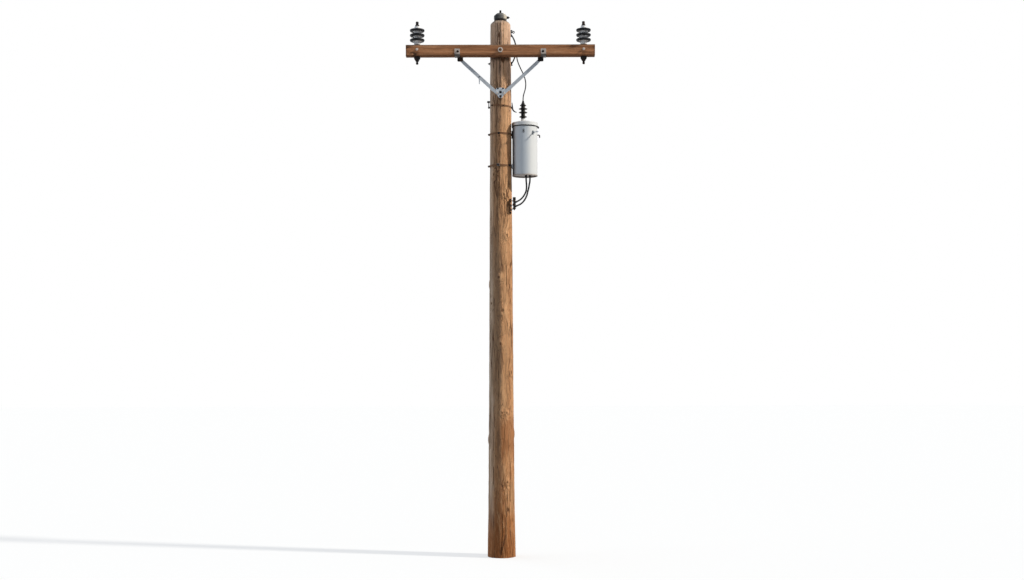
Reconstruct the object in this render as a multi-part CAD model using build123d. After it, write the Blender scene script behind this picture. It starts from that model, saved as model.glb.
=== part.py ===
from build123d import *
import math
import os

# Wooden distribution pole with a braced crossarm, pin insulators, a pole-mounted transformer and its leads.
# Millimetres, +Z up. The origin is the pole's centre at ground level. The crossarm runs along X on the
# pole's -Y side and the transformer hangs on the +X side.

# Shared fits
seat_gap = 0.3
shank_play = 0.6
cut_overrun = 30.0

# Pole
pole_height = 9740.0
taper_ground_diameter = 480.0
pole_top_diameter = 376.0
butt_swell = 30.0
swell_height = 1900.0
roof_height = 64.0
roof_inset = 58.0
roof_round = 22.0
gain_depth = 22.0
gain_play = 2.0

# Crossarm
crossarm_drop = 598.0
crossarm_length = 3437.0
crossarm_height = 208.0
crossarm_depth = 150.0
crossarm_edge = 9.0

# Pin insulators on the crossarm
insulator_end_distance = 205.0
pin_diameter = 32.0
pin_shoulder_diameter = 96.0
pin_shoulder_thickness = 12.0
pin_rise = 150.0
pin_tail = 140.0
pin_end_diameter = 44.0
pin_end_height = 36.0
pin_end_chamfer = 5.0
pin_nut_diameter = 114.0
pin_nut_rim = 34.0
pin_nut_tip_diameter = 46.0
pin_nut_height = 92.0
pin_nut_round = 4.0
shed_count = 3
shed_diameter = 274.0
shed_pitch = 90.0
shed_first_height = 58.0
shed_lip = 42.0
shed_drip = 10.0
shed_rise = 56.0
shed_under_rise = 10.0
shed_edge_round = 16.0
shed_root_round = 10.0
insulator_core_diameter = 116.0
insulator_base_diameter = 122.0
insulator_base_round = 6.0
insulator_crown_diameter = 96.0
insulator_crown_rise = 46.0
insulator_crown_round = 8.0
stud_collar_diameter = 76.0
stud_collar_height = 24.0
stud_diameter = 52.0
stud_height = 62.0
stud_chamfer = 5.0

# Pole-top insulator
top_ring_diameter = 232.0
top_ring_height = 24.0
top_ring_round = 5.0
bell_diameter = 236.0
bell_foot_diameter = 208.0
bell_foot_height = 26.0
bell_wall_height = 86.0
bell_height = 130.0
bell_top_diameter = 140.0
bell_round = 20.0
top_stud_diameter = 38.0
top_stud_height = 62.0
top_stud_chamfer = 5.0
top_clamp_reach = 34.0
top_clamp_width = 52.0
top_clamp_height = 36.0
top_clamp_round = 6.0

# Crossarm braces
brace_pin_distance = 722.0
brace_foot_distance = 64.0
brace_drop = 764.0
brace_width = 57.0
brace_thickness = 7.0
brace_flange = 34.0
brace_flange_pole_clearance = 90.0
brace_flange_clevis_clearance = 70.0
clip_offset = 60.0
clip_width = 98.0
clip_rise = 132.0
clip_thickness = 8.0
clip_round = 14.0
clip_tongue = 128.0
clevis_offset = 10.0
clevis_width = 104.0
clevis_bridge = 12.0
clevis_cheek = 11.0
clevis_drop = 70.0
clevis_round = 18.0
foot_plate_thickness = 9.0
foot_plate_shoulder_width = 214.0
foot_plate_top_width = 124.0
foot_plate_tip_width = 58.0
foot_plate_height = 188.0
foot_plate_tail = 88.0
foot_plate_round = 14.0
foot_plate_shoulder_share = 0.72

# Jumper bar behind the crossarm
jumper_drop = 244.0
jumper_span = 536.0
jumper_bow = 86.0
jumper_bar_diameter = 25.0
jumper_pad_thickness = 14.0
jumper_pad_width = 46.0
jumper_pad_drop = 34.0
jumper_pad_rise = 92.0
jumper_pad_round = 8.0
jumper_clamp_height = 60.0
jumper_clamp_width = 56.0
jumper_clamp_depth = 44.0
jumper_clamp_rise = 150.0
jumper_clamp_lead_offset = 15.0
jumper_clamp_round = 7.0
eye_rise = 52.0
eye_neck_diameter = 26.0
eye_neck_length = 12.0
eye_outer_diameter = 46.0
eye_hole_diameter = 22.0
eye_thickness = 16.0

# Bands round the pole
band_height = 30.0
band_thickness = 6.0
band_ear_reach = 26.0
band_ear_thickness = 9.0
band_ear_gap = 14.0
upper_band_drop = 218.0
upper_band_tilt = 4.0
upper_band_left_reach = 165.0
upper_band_back_reach = 24.0
upper_hanger_band_drop = 193.0
lower_hanger_band_rise = 182.0
hanger_band_ear_turn = 180.0

# Bracket and strap tail at the upper band
side_bracket_rise = 42.0
side_bracket_span = 104.0
side_bracket_stub = 36.0
side_bracket_stub_round = 6.0
side_bracket_upper_reach = 50.0
side_bracket_lower_reach = 34.0
side_bracket_bar = 16.0
side_bracket_bar_reach = 20.0
tail_width = 24.0
tail_rise = 80.0
tail_fall = 100.0
tail_reach = 92.0
tail_top_thickness = 12.0
tail_middle_thickness = 26.0
tail_tip_thickness = 7.0

# Transformer
lid_drop = 277.0
tank_diameter = 458.0
tank_height = 959.0
tank_wall = 6.0
tank_floor_recess = 20.0
tank_floor_thickness = 8.0
tank_foot_bead = 3.0
tank_foot_bead_height = 16.0
tank_lip = 3.0
tank_lip_height = 10.0
lid_overhang = 11.0
lid_pole_gap = 3.0
lid_skirt = 44.0
lid_sheet = 6.0
lid_shoulder_height = 18.0
lid_crown_height = 42.0
lid_crown_diameter = 290.0
lid_round = 12.0
ring_height = 18.0
ring_inset = 1.0
ring_round = 4.0
latch_reach = 18.0
latch_width = 38.0
latch_height = 34.0
latch_round = 5.0
bushing_offset = 30.0
bushing_flange_diameter = 112.0
bushing_flange_thickness = 12.0
bushing_neck_diameter = 78.0
bushing_neck_height = 46.0
bushing_core_diameter = 74.0
bushing_shed_diameter = 163.0
bushing_shed_shares = (0.90, 1.0, 1.0, 0.74)
bushing_shed_heights = (28.0, 109.0, 176.0, 238.0)
bushing_shed_lip = 9.0
bushing_shed_drip = 8.0
bushing_shed_rise = 28.0
bushing_shed_under_rise = 14.0
bushing_shed_edge_round = 3.5
bushing_shed_root_round = 6.0
bushing_head_rise = 24.0
bushing_head_diameter = 56.0
bushing_foot_round = 3.0
terminal_cap_diameter = 46.0
terminal_cap_height = 16.0
terminal_stem_diameter = 36.0
terminal_height = 45.0
terminal_round = 3.0
terminal_tip_round = 12.0
lift_hook_below_top = 201.0
lift_hook_reach = 42.0
lift_hook_drop = 50.0
lift_hook_bar = 20.0
lift_hook_thickness = 16.0
lift_hook_bend = 22.0
boss_plate_width = 36.0
boss_plate_height = 70.0
boss_plate_thickness = 10.0
boss_plate_round = 8.0
boss_diameter = 22.0
boss_length = 30.0
front_boss_below_top = 157.0
front_boss_turn = -96.0
corner_boss_below_top = 181.0
corner_boss_turn = -50.0
hanger_width = 104.0
upper_hanger_rise = 150.0
lower_hanger_rise = 92.0
hanger_slope_share = 0.72
gland_diameter = 46.0
gland_tip_diameter = 34.0
gland_length = 40.0
gland_collar = 22.0
gland_round = 2.0
inner_gland_x = 21.7
inner_gland_y = 20.0
outer_gland_x = 92.7
outer_gland_y = 60.0

# Secondary rack
rack_turn = -36.0
rack_drop = 711.0
rack_plate_height = 285.0
rack_plate_width = 46.0
rack_plate_thickness = 8.0
rack_plate_round = 9.0
rack_pin_offset = 88.0
rack_arm_width = 40.0
rack_arm_thickness = 8.0
rack_arm_pitch = 76.0
rack_lowest_arm_rise = 91.0
rack_arm_count = 3
rack_pin_diameter = 16.0
rack_pin_head_diameter = 54.0
rack_pin_head_height = 58.0
rack_pin_foot = 18.0
rack_pin_nut_diameter = 28.0
rack_pin_nut_height = 12.0
rack_pin_round = 8.0
spool_diameter = 60.0
spool_groove_diameter = 40.0
spool_flange_share = 0.2
spool_round = 4.0
ferrule_diameter = 36.0
ferrule_length = 36.0
ferrule_round = 4.0
upper_ferrule_turn = 54.6
upper_ferrule_tilt = 19.6
lower_ferrule_turn = 51.3
lower_ferrule_tilt = 19.8

# Leads
drop_lead_diameter = 20.0
secondary_lead_diameter = 30.0
bend_share = 0.45
terminal_run = 69.0
clamp_run = 30.0
gland_run = 60.0
ferrule_run = 60.0
drop_lead_bends = [
    (20.7, 0.0, 145.0), (43.7, 0.0, 220.0), (52.7, 0.0, 302.0), (43.7, 0.0, 384.0), (18.7, 0.0, 464.0),
    (-14.3, 0.0, 540.0), (-50.3, 0.0, 613.0), (-81.3, 0.0, 686.0), (-104.3, 0.0, 754.0),
]
inner_lead_bends = [
    (30.1, 2.8, -167.6), (25.1, 1.3, -254.4), (7.6, -0.2, -309.4), (-32.7, -14.6, -378.6),
    (-81.4, -41.5, -431.2),
]
outer_lead_bends = [
    (79.8, 58.6, -140.6), (68.1, 39.8, -217.2), (50.9, 37.5, -273.6), (35.5, 14.4, -353.4),
    (-16.7, -16.5, -453.9), (-70.6, -49.3, -510.8),
]


def pole_radius(z):
    """Radius of the straight taper at height z."""
    slope = (pole_top_diameter - taper_ground_diameter) / pole_height
    return (taper_ground_diameter + slope * z) / 2


# Places that follow from the sizes above
butt_radius = pole_radius(0) + butt_swell / 2
shoulder_height = pole_height - roof_height
crossarm_centre_height = pole_height - crossarm_drop
gain_face_y = gain_depth - pole_radius(crossarm_centre_height)
crossarm_y = gain_face_y - crossarm_depth / 2
crossarm_front_y = gain_face_y - crossarm_depth
crossarm_top = crossarm_centre_height + crossarm_height / 2
crossarm_bottom = crossarm_centre_height - crossarm_height / 2
insulator_x = crossarm_length / 2 - insulator_end_distance
top_shed_height = shed_first_height + (shed_count - 1) * shed_pitch
insulator_crown_height = top_shed_height + shed_rise + insulator_crown_rise
brace_foot_height = crossarm_centre_height - brace_drop
foot_plate_bottom_height = brace_foot_height - foot_plate_tail
foot_plate_back_y = -pole_radius(foot_plate_bottom_height) - seat_gap
brace_back_y = foot_plate_back_y - foot_plate_thickness
brace_middle_y = brace_back_y - brace_thickness / 2
clip_tongue_bottom = crossarm_bottom - clip_thickness
clevis_pin_height = clip_tongue_bottom - clevis_bridge - seat_gap - brace_width / 2
clevis_distance = brace_pin_distance + clevis_offset
clip_distance = brace_pin_distance + clip_offset
upper_band_height = brace_foot_height - upper_band_drop
side_bracket_height = upper_band_height + side_bracket_rise
lid_crown = upper_band_height - lid_drop
lid_diameter = tank_diameter + 2 * lid_overhang
tank_radius = tank_diameter / 2
tank_top = lid_crown - lid_crown_height
tank_bottom_height = tank_top - tank_height
upper_hanger_band_height = tank_top - upper_hanger_band_drop
lower_hanger_band_height = tank_bottom_height + lower_hanger_band_rise
lid_edge_height = tank_top - lid_skirt
tank_x = pole_radius(lid_edge_height) + lid_pole_gap + lid_diameter / 2
bushing_x = tank_x - bushing_offset
bushing_foot = lid_crown + bushing_flange_thickness + bushing_neck_height
top_bushing_shed = bushing_shed_heights[-1]
bushing_head_height = top_bushing_shed + bushing_shed_rise + bushing_head_rise
bushing_head = bushing_foot + bushing_head_height
terminal_top_height = bushing_head + terminal_height
tank_floor = tank_bottom_height + tank_floor_recess
rack_bottom_height = tank_bottom_height - rack_drop
rack_seat = pole_radius(rack_bottom_height) + seat_gap
rack_pin_x = rack_seat + rack_plate_thickness + rack_pin_offset
rack_lowest_arm = rack_bottom_height + rack_lowest_arm_rise
spool_height = rack_arm_pitch - rack_arm_thickness - 2 * seat_gap
jumper_top_height = pole_height - jumper_drop
jumper_bottom_height = jumper_top_height - jumper_span
jumper_clamp_bottom = jumper_bottom_height + jumper_clamp_rise
jumper_end_x = pole_radius(jumper_bottom_height) + seat_gap + jumper_pad_thickness / 2
jumper_clamp_x = jumper_end_x + jumper_bow
eye_height = jumper_top_height + eye_rise
eye_seat = pole_radius(jumper_top_height - jumper_pad_drop) + seat_gap + jumper_pad_thickness


def turned(points, radii):
    """Solid turned about Z from an outline that starts and ends on the axis."""
    outline = FilletPolyline(*points, radius=radii)
    axis_line = Line(points[-1], points[0])
    return revolve(Plane.XZ * make_face(Curve() + [outline, axis_line]), Axis.Z)


def turned_ring(points, radii):
    """Ring turned about Z from a closed outline clear of the axis."""
    outline = FilletPolyline(*points, radius=radii, close=True)
    return revolve(Plane.XZ * make_face(outline), Axis.Z)


def tapered_core(extra, low, high):
    """Solid that follows the pole's taper, larger by extra, between two heights."""
    points = [
        (0, low),
        (pole_radius(low) + extra, low),
        (pole_radius(high) + extra, high),
        (0, high),
    ]
    return turned(points, [0, 0])


def round_bar(radius, low, high):
    """Upright cylinder on the Z axis between two heights."""
    return Pos(0, 0, (low + high) / 2) * Cylinder(radius, high - low)


def both_sides(shape):
    """The shape and its mirror image across the pole."""
    return shape, mirror(shape, about=Plane.YZ)


def shed_outline(core, rim, drip, height, lip, under_rise, rise):
    """Outline of one shed, from its root below to its root above."""
    return [
        (core, height + under_rise),
        (rim - drip, height),
        (rim, height + lip),
        (core, height + rise),
    ]


def make_pole():
    taper_run = (pole_radius(0) - pole_radius(pole_height), -pole_height)
    swell_top = (pole_radius(swell_height), swell_height)
    shoulder_radius = pole_radius(shoulder_height)
    upper = FilletPolyline(
        swell_top,
        (shoulder_radius, shoulder_height),
        (shoulder_radius - roof_inset, pole_height),
        (0, pole_height),
        radius=[roof_round, roof_round],
    )
    swell = TangentArc(swell_top, (butt_radius, 0), tangent=taper_run)
    inside = Polyline((0, pole_height), (0, 0), (butt_radius, 0))
    body = revolve(Plane.XZ * make_face(Curve() + [upper, swell, inside]), Axis.Z)
    gain_height = crossarm_height + 2 * gain_play
    gain_reach = butt_radius + cut_overrun
    gain = Pos(0, gain_face_y - gain_reach / 2, crossarm_centre_height)
    return body - gain * Box(2 * butt_radius, gain_reach, gain_height)


def make_crossarm():
    arm = Box(crossarm_length, crossarm_depth, crossarm_height)
    arm = chamfer(arm.edges().filter_by(Axis.X), crossarm_edge)
    hole = Cylinder(pin_diameter / 2 + shank_play, crossarm_height + cut_overrun)
    for side in (-1, 1):
        arm -= Pos(side * insulator_x, 0, 0) * hole
    return Pos(0, crossarm_y, crossarm_centre_height) * arm


def make_pin():
    radius = pin_diameter / 2
    end = pin_end_diameter / 2
    low = -crossarm_height - pin_tail
    points = [
        (0, low),
        (end - pin_end_chamfer, low),
        (end, low + pin_end_chamfer),
        (end, low + pin_end_height),
        (radius, low + pin_end_height),
        (radius, 0),
        (pin_shoulder_diameter / 2, 0),
        (pin_shoulder_diameter / 2, pin_shoulder_thickness),
        (radius, pin_shoulder_thickness),
        (radius, pin_rise),
        (0, pin_rise),
    ]
    return turned(points, [0] * (len(points) - 2))


def make_pin_nut():
    bore = pin_diameter / 2 + shank_play
    top = -crossarm_height
    points = [
        (bore, top),
        (pin_nut_diameter / 2, top),
        (pin_nut_diameter / 2, top - pin_nut_rim),
        (pin_nut_tip_diameter / 2, top - pin_nut_height),
        (bore, top - pin_nut_height),
    ]
    return turned_ring(points, [0, pin_nut_round, pin_nut_round, pin_nut_round, 0])


def make_insulator_body():
    core = insulator_core_diameter / 2
    rim = shed_diameter / 2
    low = pin_shoulder_thickness
    bore = pin_diameter / 2 + shank_play
    points = [
        (bore, low),
        (insulator_base_diameter / 2, low),
    ]
    radii = [0, insulator_base_round]
    for index in range(shed_count):
        height = low + shed_first_height + index * shed_pitch
        points += shed_outline(core, rim, shed_drip, height, shed_lip, shed_under_rise, shed_rise)
        radii += [shed_root_round, shed_edge_round, shed_edge_round, shed_root_round]
    points += [
        (insulator_crown_diameter / 2, low + insulator_crown_height),
        (0, low + insulator_crown_height),
        (0, pin_rise + shank_play),
        (bore, pin_rise + shank_play),
    ]
    radii += [insulator_crown_round, 0, 0, 0]
    outline = FilletPolyline(*points, radius=radii, close=True)
    return revolve(Plane.XZ * make_face(outline), Axis.Z)


def make_stud(collar, collar_height, radius, height, edge):
    """Conductor stud standing on its collar."""
    points = [
        (0, 0),
        (collar, 0),
        (collar, collar_height),
        (radius, collar_height),
        (radius, collar_height + height - edge),
        (radius - edge, collar_height + height),
        (0, collar_height + height),
    ]
    return turned(points, [0, edge, 0, 0, 0])


def make_arm_stud():
    return make_stud(
        stud_collar_diameter / 2, stud_collar_height, stud_diameter / 2, stud_height, stud_chamfer
    )


def make_top_ring():
    radius = top_ring_diameter / 2
    points = [(0, 0), (radius, 0), (radius, top_ring_height), (0, top_ring_height)]
    return Pos(0, 0, pole_height) * turned(points, [top_ring_round, top_ring_round])


def make_top_bell():
    points = [
        (0, 0),
        (bell_foot_diameter / 2, 0),
        (bell_diameter / 2, bell_foot_height),
        (bell_diameter / 2, bell_wall_height),
        (bell_top_diameter / 2, bell_height),
        (0, bell_height),
    ]
    bell = turned(points, [bell_round / 2, bell_round / 2, bell_round, bell_round])
    return Pos(0, 0, pole_height + top_ring_height) * bell


def make_top_stud():
    radius = top_stud_diameter / 2
    points = [
        (0, 0),
        (radius, 0),
        (radius, top_stud_height - top_stud_chamfer),
        (radius - top_stud_chamfer, top_stud_height),
        (0, top_stud_height),
    ]
    return Pos(0, 0, pole_height + top_ring_height + bell_height) * turned(points, [0, 0, 0])


def make_top_clamp():
    wall = bell_diameter / 2
    middle = pole_height + top_ring_height + (bell_foot_height + bell_wall_height) / 2
    length = top_clamp_reach + wall / 2
    block = Box(length, top_clamp_width, top_clamp_height)
    block = fillet(block.edges().filter_by(Axis.X), top_clamp_round)
    block = Pos(wall + top_clamp_reach - length / 2, 0, middle) * block
    half = top_clamp_height / 2 + cut_overrun
    return block - round_bar(wall + seat_gap, middle - half, middle + half)


def make_brace():
    """Right-hand brace: a flat bar with round ends and a flange along its lower edge."""
    run = brace_pin_distance - brace_foot_distance
    rise = clevis_pin_height - brace_foot_height
    length = math.hypot(run, rise)
    lie = Plane(
        origin=(brace_foot_distance, brace_back_y, brace_foot_height),
        x_dir=(run, 0, rise),
        z_dir=(0, -1, 0),
    )
    bar = Pos(length / 2, 0) * SlotCenterToCenter(length, brace_width)
    bar = extrude(lie * bar, brace_thickness)
    flange_start = brace_flange_pole_clearance
    flange_length = length - flange_start - brace_flange_clevis_clearance
    flange_y = (brace_thickness - brace_width) / 2
    flange = Pos(flange_start + flange_length / 2, flange_y, (brace_thickness - brace_flange) / 2)
    return bar + lie * flange * Box(flange_length, brace_thickness, brace_flange + brace_thickness)


def make_foot_plate():
    top = foot_plate_bottom_height + foot_plate_height
    shoulder = foot_plate_bottom_height + foot_plate_height * foot_plate_shoulder_share
    points = [
        (-foot_plate_tip_width / 2, foot_plate_bottom_height),
        (foot_plate_tip_width / 2, foot_plate_bottom_height),
        (foot_plate_shoulder_width / 2, shoulder),
        (foot_plate_top_width / 2, top),
        (-foot_plate_top_width / 2, top),
        (-foot_plate_shoulder_width / 2, shoulder),
    ]
    outline = make_face(FilletPolyline(*points, radius=foot_plate_round, close=True))
    return Pos(0, foot_plate_back_y, 0) * extrude(Plane.XZ * outline, foot_plate_thickness)


def make_clip():
    """Right-hand clip: a plate up the arm's front face and a tongue under the arm."""
    plate = Rectangle(clip_width, clip_rise + clip_thickness)
    plate = fillet(plate.vertices().group_by(Axis.Y)[-1], clip_round)
    middle = crossarm_bottom + (clip_rise - clip_thickness) / 2
    front = extrude(Plane.XZ * plate, clip_thickness)
    front = Pos(clip_distance, crossarm_front_y, middle) * front
    tongue = Box(clip_width, clip_tongue, clip_thickness)
    tongue_y = crossarm_front_y + clip_tongue / 2
    return front + Pos(clip_distance, tongue_y, crossarm_bottom - clip_thickness / 2) * tongue


def make_clevis():
    """Right-hand clevis: a bridge under the clip and two cheeks round the brace top."""
    slot = brace_thickness + 2 * seat_gap
    outline = Rectangle(clevis_width, clevis_drop)
    outline = fillet(outline.vertices().group_by(Axis.Y)[0], clevis_round)
    block = extrude(Plane.XZ * outline, slot / 2 + clevis_cheek, both=True)
    gap = Box(clevis_width + cut_overrun, slot, clevis_drop)
    block -= Pos(0, 0, -clevis_bridge) * gap
    return Pos(clevis_distance, brace_middle_y, clip_tongue_bottom - clevis_drop / 2) * block


def jumper_path():
    """Bow of the jumper bar from its upper pad to its lower pad."""
    middle = (jumper_top_height + jumper_bottom_height) / 2
    return ThreePointArc(
        (jumper_end_x, 0, jumper_top_height),
        (jumper_end_x + jumper_bow, 0, middle),
        (jumper_end_x, 0, jumper_bottom_height),
    )


def swept_bow(radius):
    path = jumper_path()
    start = Plane(origin=path @ 0, z_dir=path % 0)
    return sweep(start * Circle(radius), path)


def jumper_pad(low, high):
    """Flat pad between two heights, hollowed to the pole's round side."""
    outline = RectangleRounded(jumper_pad_width, high - low, jumper_pad_round)
    face = pole_radius(low) + seat_gap + jumper_pad_thickness
    depth = jumper_pad_thickness + jumper_pad_width / 2
    pad = extrude(Plane.YZ * outline, -depth)
    pad = Pos(face, 0, (low + high) / 2) * pad
    return pad - tapered_core(seat_gap, low - cut_overrun, high + cut_overrun)


def make_jumper_bar():
    upper = jumper_pad(jumper_top_height - jumper_pad_drop, jumper_top_height + jumper_pad_rise)
    lower = jumper_pad(jumper_bottom_height - jumper_pad_drop, jumper_bottom_height + jumper_pad_drop)
    bow = swept_bow(jumper_bar_diameter / 2)
    low = jumper_bottom_height - jumper_pad_rise
    high = jumper_top_height + jumper_pad_rise
    return upper + lower + (bow - tapered_core(seat_gap, low, high))


def make_jumper_clamp():
    block = Box(jumper_clamp_width, jumper_clamp_depth, jumper_clamp_height)
    block = fillet(block.edges().filter_by(Axis.Z), jumper_clamp_round)
    block = Pos(jumper_clamp_x, 0, jumper_clamp_bottom + jumper_clamp_height / 2) * block
    return block - swept_bow(jumper_bar_diameter / 2 + seat_gap)


def make_deadend_eye():
    neck = Plane.YZ * Circle(eye_neck_diameter / 2)
    ring_wall = (eye_outer_diameter - eye_hole_diameter) / 2
    neck = extrude(neck, eye_neck_length + ring_wall / 2)
    centre_x = eye_neck_length + eye_outer_diameter / 2
    ring = Plane.XZ * Circle(eye_outer_diameter / 2)
    ring = Pos(centre_x, 0, 0) * extrude(ring, eye_thickness / 2, both=True)
    hole = Plane.XZ * Circle(eye_hole_diameter / 2)
    hole = Pos(centre_x, 0, 0) * extrude(hole, eye_thickness + cut_overrun, both=True)
    return Pos(eye_seat, 0, eye_height) * (neck + ring - hole)


def make_band(height, ear_turn):
    """Split band round the pole with a pair of clamping ears."""
    low = height - band_height / 2
    high = height + band_height / 2
    outer = band_thickness + seat_gap
    points = [
        (pole_radius(low) + seat_gap, low),
        (pole_radius(low) + outer, low),
        (pole_radius(high) + outer, high),
        (pole_radius(high) + seat_gap, high),
    ]
    band = turned_ring(points, [0, 0, 0, 0])
    reach = band_ear_reach + band_thickness / 2
    ear_x = pole_radius(height) + seat_gap + band_thickness / 2 + reach / 2
    ears_width = band_ear_gap + 2 * band_ear_thickness
    ears = Pos(ear_x, 0, height) * Box(reach, ears_width, band_height)
    gap_reach = reach + 2 * cut_overrun
    gap = Pos(ear_x, 0, height) * Box(gap_reach, band_ear_gap, band_height + cut_overrun)
    return Rot(0, 0, ear_turn) * (band + ears - gap)


def make_upper_band():
    """Strap that slants across the pole's front and ends behind its right side."""
    radius = pole_radius(upper_band_height) + band_thickness + cut_overrun
    low = upper_band_height - radius
    high = upper_band_height + radius
    shell = tapered_core(seat_gap + band_thickness, low, high) - tapered_core(seat_gap, low, high)
    width = radius + upper_band_left_reach
    depth = radius + upper_band_back_reach
    slab = Pos(radius - width / 2, upper_band_back_reach - depth / 2, 0) * Box(width, depth, band_height)
    return shell & (Pos(0, 0, upper_band_height) * Rot(0, upper_band_tilt, 0) * slab)


def make_side_bracket():
    """Two stubs on the pole's left side above the upper band, joined by a bar."""
    low = side_bracket_height - side_bracket_span / 2
    high = side_bracket_height + side_bracket_span / 2
    wall = pole_radius(low)
    radius = side_bracket_stub / 2
    bar_x = -wall - side_bracket_bar_reach
    bracket = Pos(bar_x, 0, 0) * round_bar(side_bracket_bar / 2, low, high)
    for height, reach in ((low, side_bracket_lower_reach), (high, side_bracket_upper_reach)):
        stub = extrude(Plane.YZ * Circle(radius), -reach - radius)
        stub = fillet(stub.edges().group_by(Axis.X)[0], side_bracket_stub_round)
        bracket += Pos(radius - wall, 0, height) * stub
    return bracket - tapered_core(seat_gap, low - cut_overrun, high + cut_overrun)


def make_strap_tail():
    """Loose end of strap that hangs away from the upper band's right end."""
    slant = pole_radius(upper_band_height) * math.tan(math.radians(upper_band_tilt))
    lowest = upper_band_height - slant - band_height / 2
    wall = pole_radius(lowest) + 2 * seat_gap + band_thickness
    tip_x = wall + tail_reach
    near = [(wall, tail_rise), (wall, -slant), (tip_x, -tail_fall)]
    far = [
        (wall + tail_top_thickness, tail_rise),
        (wall + tail_middle_thickness, -slant),
        (tip_x, tail_tip_thickness - tail_fall),
    ]
    edges = [Line(near[0], far[0]), Line(near[-1], far[-1])]
    for top, bend, tip in (near, far):
        edges += [Line(top, bend), TangentArc(bend, tip, tangent=(0, -1))]
    outline = make_face(Curve() + edges)
    tail = extrude(Plane.XZ * outline, tail_width / 2, both=True)
    return Pos(0, 0, upper_band_height) * tail


def make_hanger(height, rise):
    """Bracket between a hanger band and the tank, hollowed to both."""
    inner = pole_radius(height) - cut_overrun
    outer = tank_x - tank_radius + cut_overrun
    low = height - rise / 2
    high = height + rise / 2
    slope = rise * (1 - hanger_slope_share) / 2
    points = [(inner, low), (outer, low + slope), (outer, high - slope), (inner, high)]
    side = make_face(Polyline(*points, close=True))
    block = extrude(Plane.XZ * side, hanger_width / 2, both=True)
    block -= tapered_core(2 * seat_gap + band_thickness, low - cut_overrun, high + cut_overrun)
    tank = round_bar(tank_radius + seat_gap, low - cut_overrun, high + cut_overrun)
    return block - Pos(tank_x, 0, 0) * tank


def make_tank():
    inside = tank_radius - tank_wall
    points = [
        (0, tank_floor_recess),
        (inside, tank_floor_recess),
        (inside, 0),
        (tank_radius + tank_foot_bead, 0),
        (tank_radius + tank_foot_bead, tank_foot_bead_height),
        (tank_radius, tank_foot_bead_height),
        (tank_radius, tank_height - tank_lip_height),
        (tank_radius + tank_lip, tank_height - tank_lip_height),
        (tank_radius + tank_lip, tank_height),
        (inside, tank_height),
        (inside, tank_floor_recess + tank_floor_thickness),
        (0, tank_floor_recess + tank_floor_thickness),
    ]
    return Pos(tank_x, 0, tank_bottom_height) * turned(points, [0] * (len(points) - 2))


def make_lid():
    radius = lid_diameter / 2
    crown = lid_crown_diameter / 2
    seat = tank_radius - tank_wall
    points = [
        (0, lid_crown_height - lid_sheet),
        (crown - lid_sheet, lid_crown_height - lid_sheet),
        (seat, 0),
        (radius - lid_sheet, 0),
        (radius - lid_sheet, -lid_skirt),
        (radius, -lid_skirt),
        (radius, lid_shoulder_height),
        (crown, lid_crown_height),
        (0, lid_crown_height),
    ]
    radii = [0, 0, 0, 0, 0, lid_round, lid_round]
    return Pos(tank_x, 0, tank_top) * turned(points, radii)


def make_clamp_ring():
    outer = lid_diameter / 2 - ring_inset
    inner = tank_radius + seat_gap
    high = lid_edge_height - seat_gap
    low = high - ring_height
    points = [(inner, low), (outer, low), (outer, high), (inner, high)]
    return Pos(tank_x, 0, 0) * turned_ring(points, [0, ring_round, ring_round, 0])


def make_ring_latch():
    wall = lid_diameter / 2 - ring_inset
    length = latch_reach + ring_height
    high = lid_edge_height - seat_gap
    block = Box(length, latch_width, latch_height)
    block = fillet(block.edges().filter_by(Axis.Z), latch_round)
    block = Pos(wall + latch_reach - length / 2, 0, high - latch_height / 2) * block
    low = high - latch_height
    block -= round_bar(wall + seat_gap, low - cut_overrun, high + cut_overrun)
    return Pos(tank_x, 0, 0) * block


def make_bushing_flange():
    neck = bushing_neck_diameter / 2
    flange = bushing_flange_diameter / 2
    high = bushing_flange_thickness + bushing_neck_height
    points = [
        (0, 0),
        (flange, 0),
        (flange, bushing_flange_thickness),
        (neck, bushing_flange_thickness),
        (neck, high),
        (0, high),
    ]
    radii = [0, bushing_foot_round, bushing_foot_round, bushing_foot_round]
    return Pos(bushing_x, 0, lid_crown) * turned(points, radii)


def make_bushing():
    core = bushing_core_diameter / 2
    points = [(0, 0), (core, 0)]
    radii = [bushing_foot_round]
    for height, share in zip(bushing_shed_heights, bushing_shed_shares):
        rim = bushing_shed_diameter / 2 * share
        points += shed_outline(
            core, rim, bushing_shed_drip, height, bushing_shed_lip, bushing_shed_under_rise,
            bushing_shed_rise,
        )
        edge = bushing_shed_edge_round
        radii += [bushing_shed_root_round, edge, edge, bushing_shed_root_round]
    points += [(bushing_head_diameter / 2, bushing_head_height), (0, bushing_head_height)]
    radii += [bushing_foot_round]
    return Pos(bushing_x, 0, bushing_foot) * turned(points, radii)


def make_terminal():
    cap = terminal_cap_diameter / 2
    stem = terminal_stem_diameter / 2
    points = [
        (0, 0),
        (cap, 0),
        (cap, terminal_cap_height),
        (stem, terminal_cap_height),
        (stem, terminal_height),
        (0, terminal_height),
    ]
    return Pos(bushing_x, 0, bushing_head) * turned(points, [0, terminal_round, 0, terminal_tip_round])


def make_lift_hook():
    start = tank_radius + seat_gap
    turn = start + lift_hook_reach
    path = FilletPolyline((start, 0), (turn, 0), (turn, -lift_hook_drop), radius=lift_hook_bend)
    outline = trace(path, lift_hook_bar)
    hook = extrude(Plane.XZ * outline, lift_hook_thickness / 2, both=True)
    return Pos(tank_x, 0, tank_top - lift_hook_below_top) * hook


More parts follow.
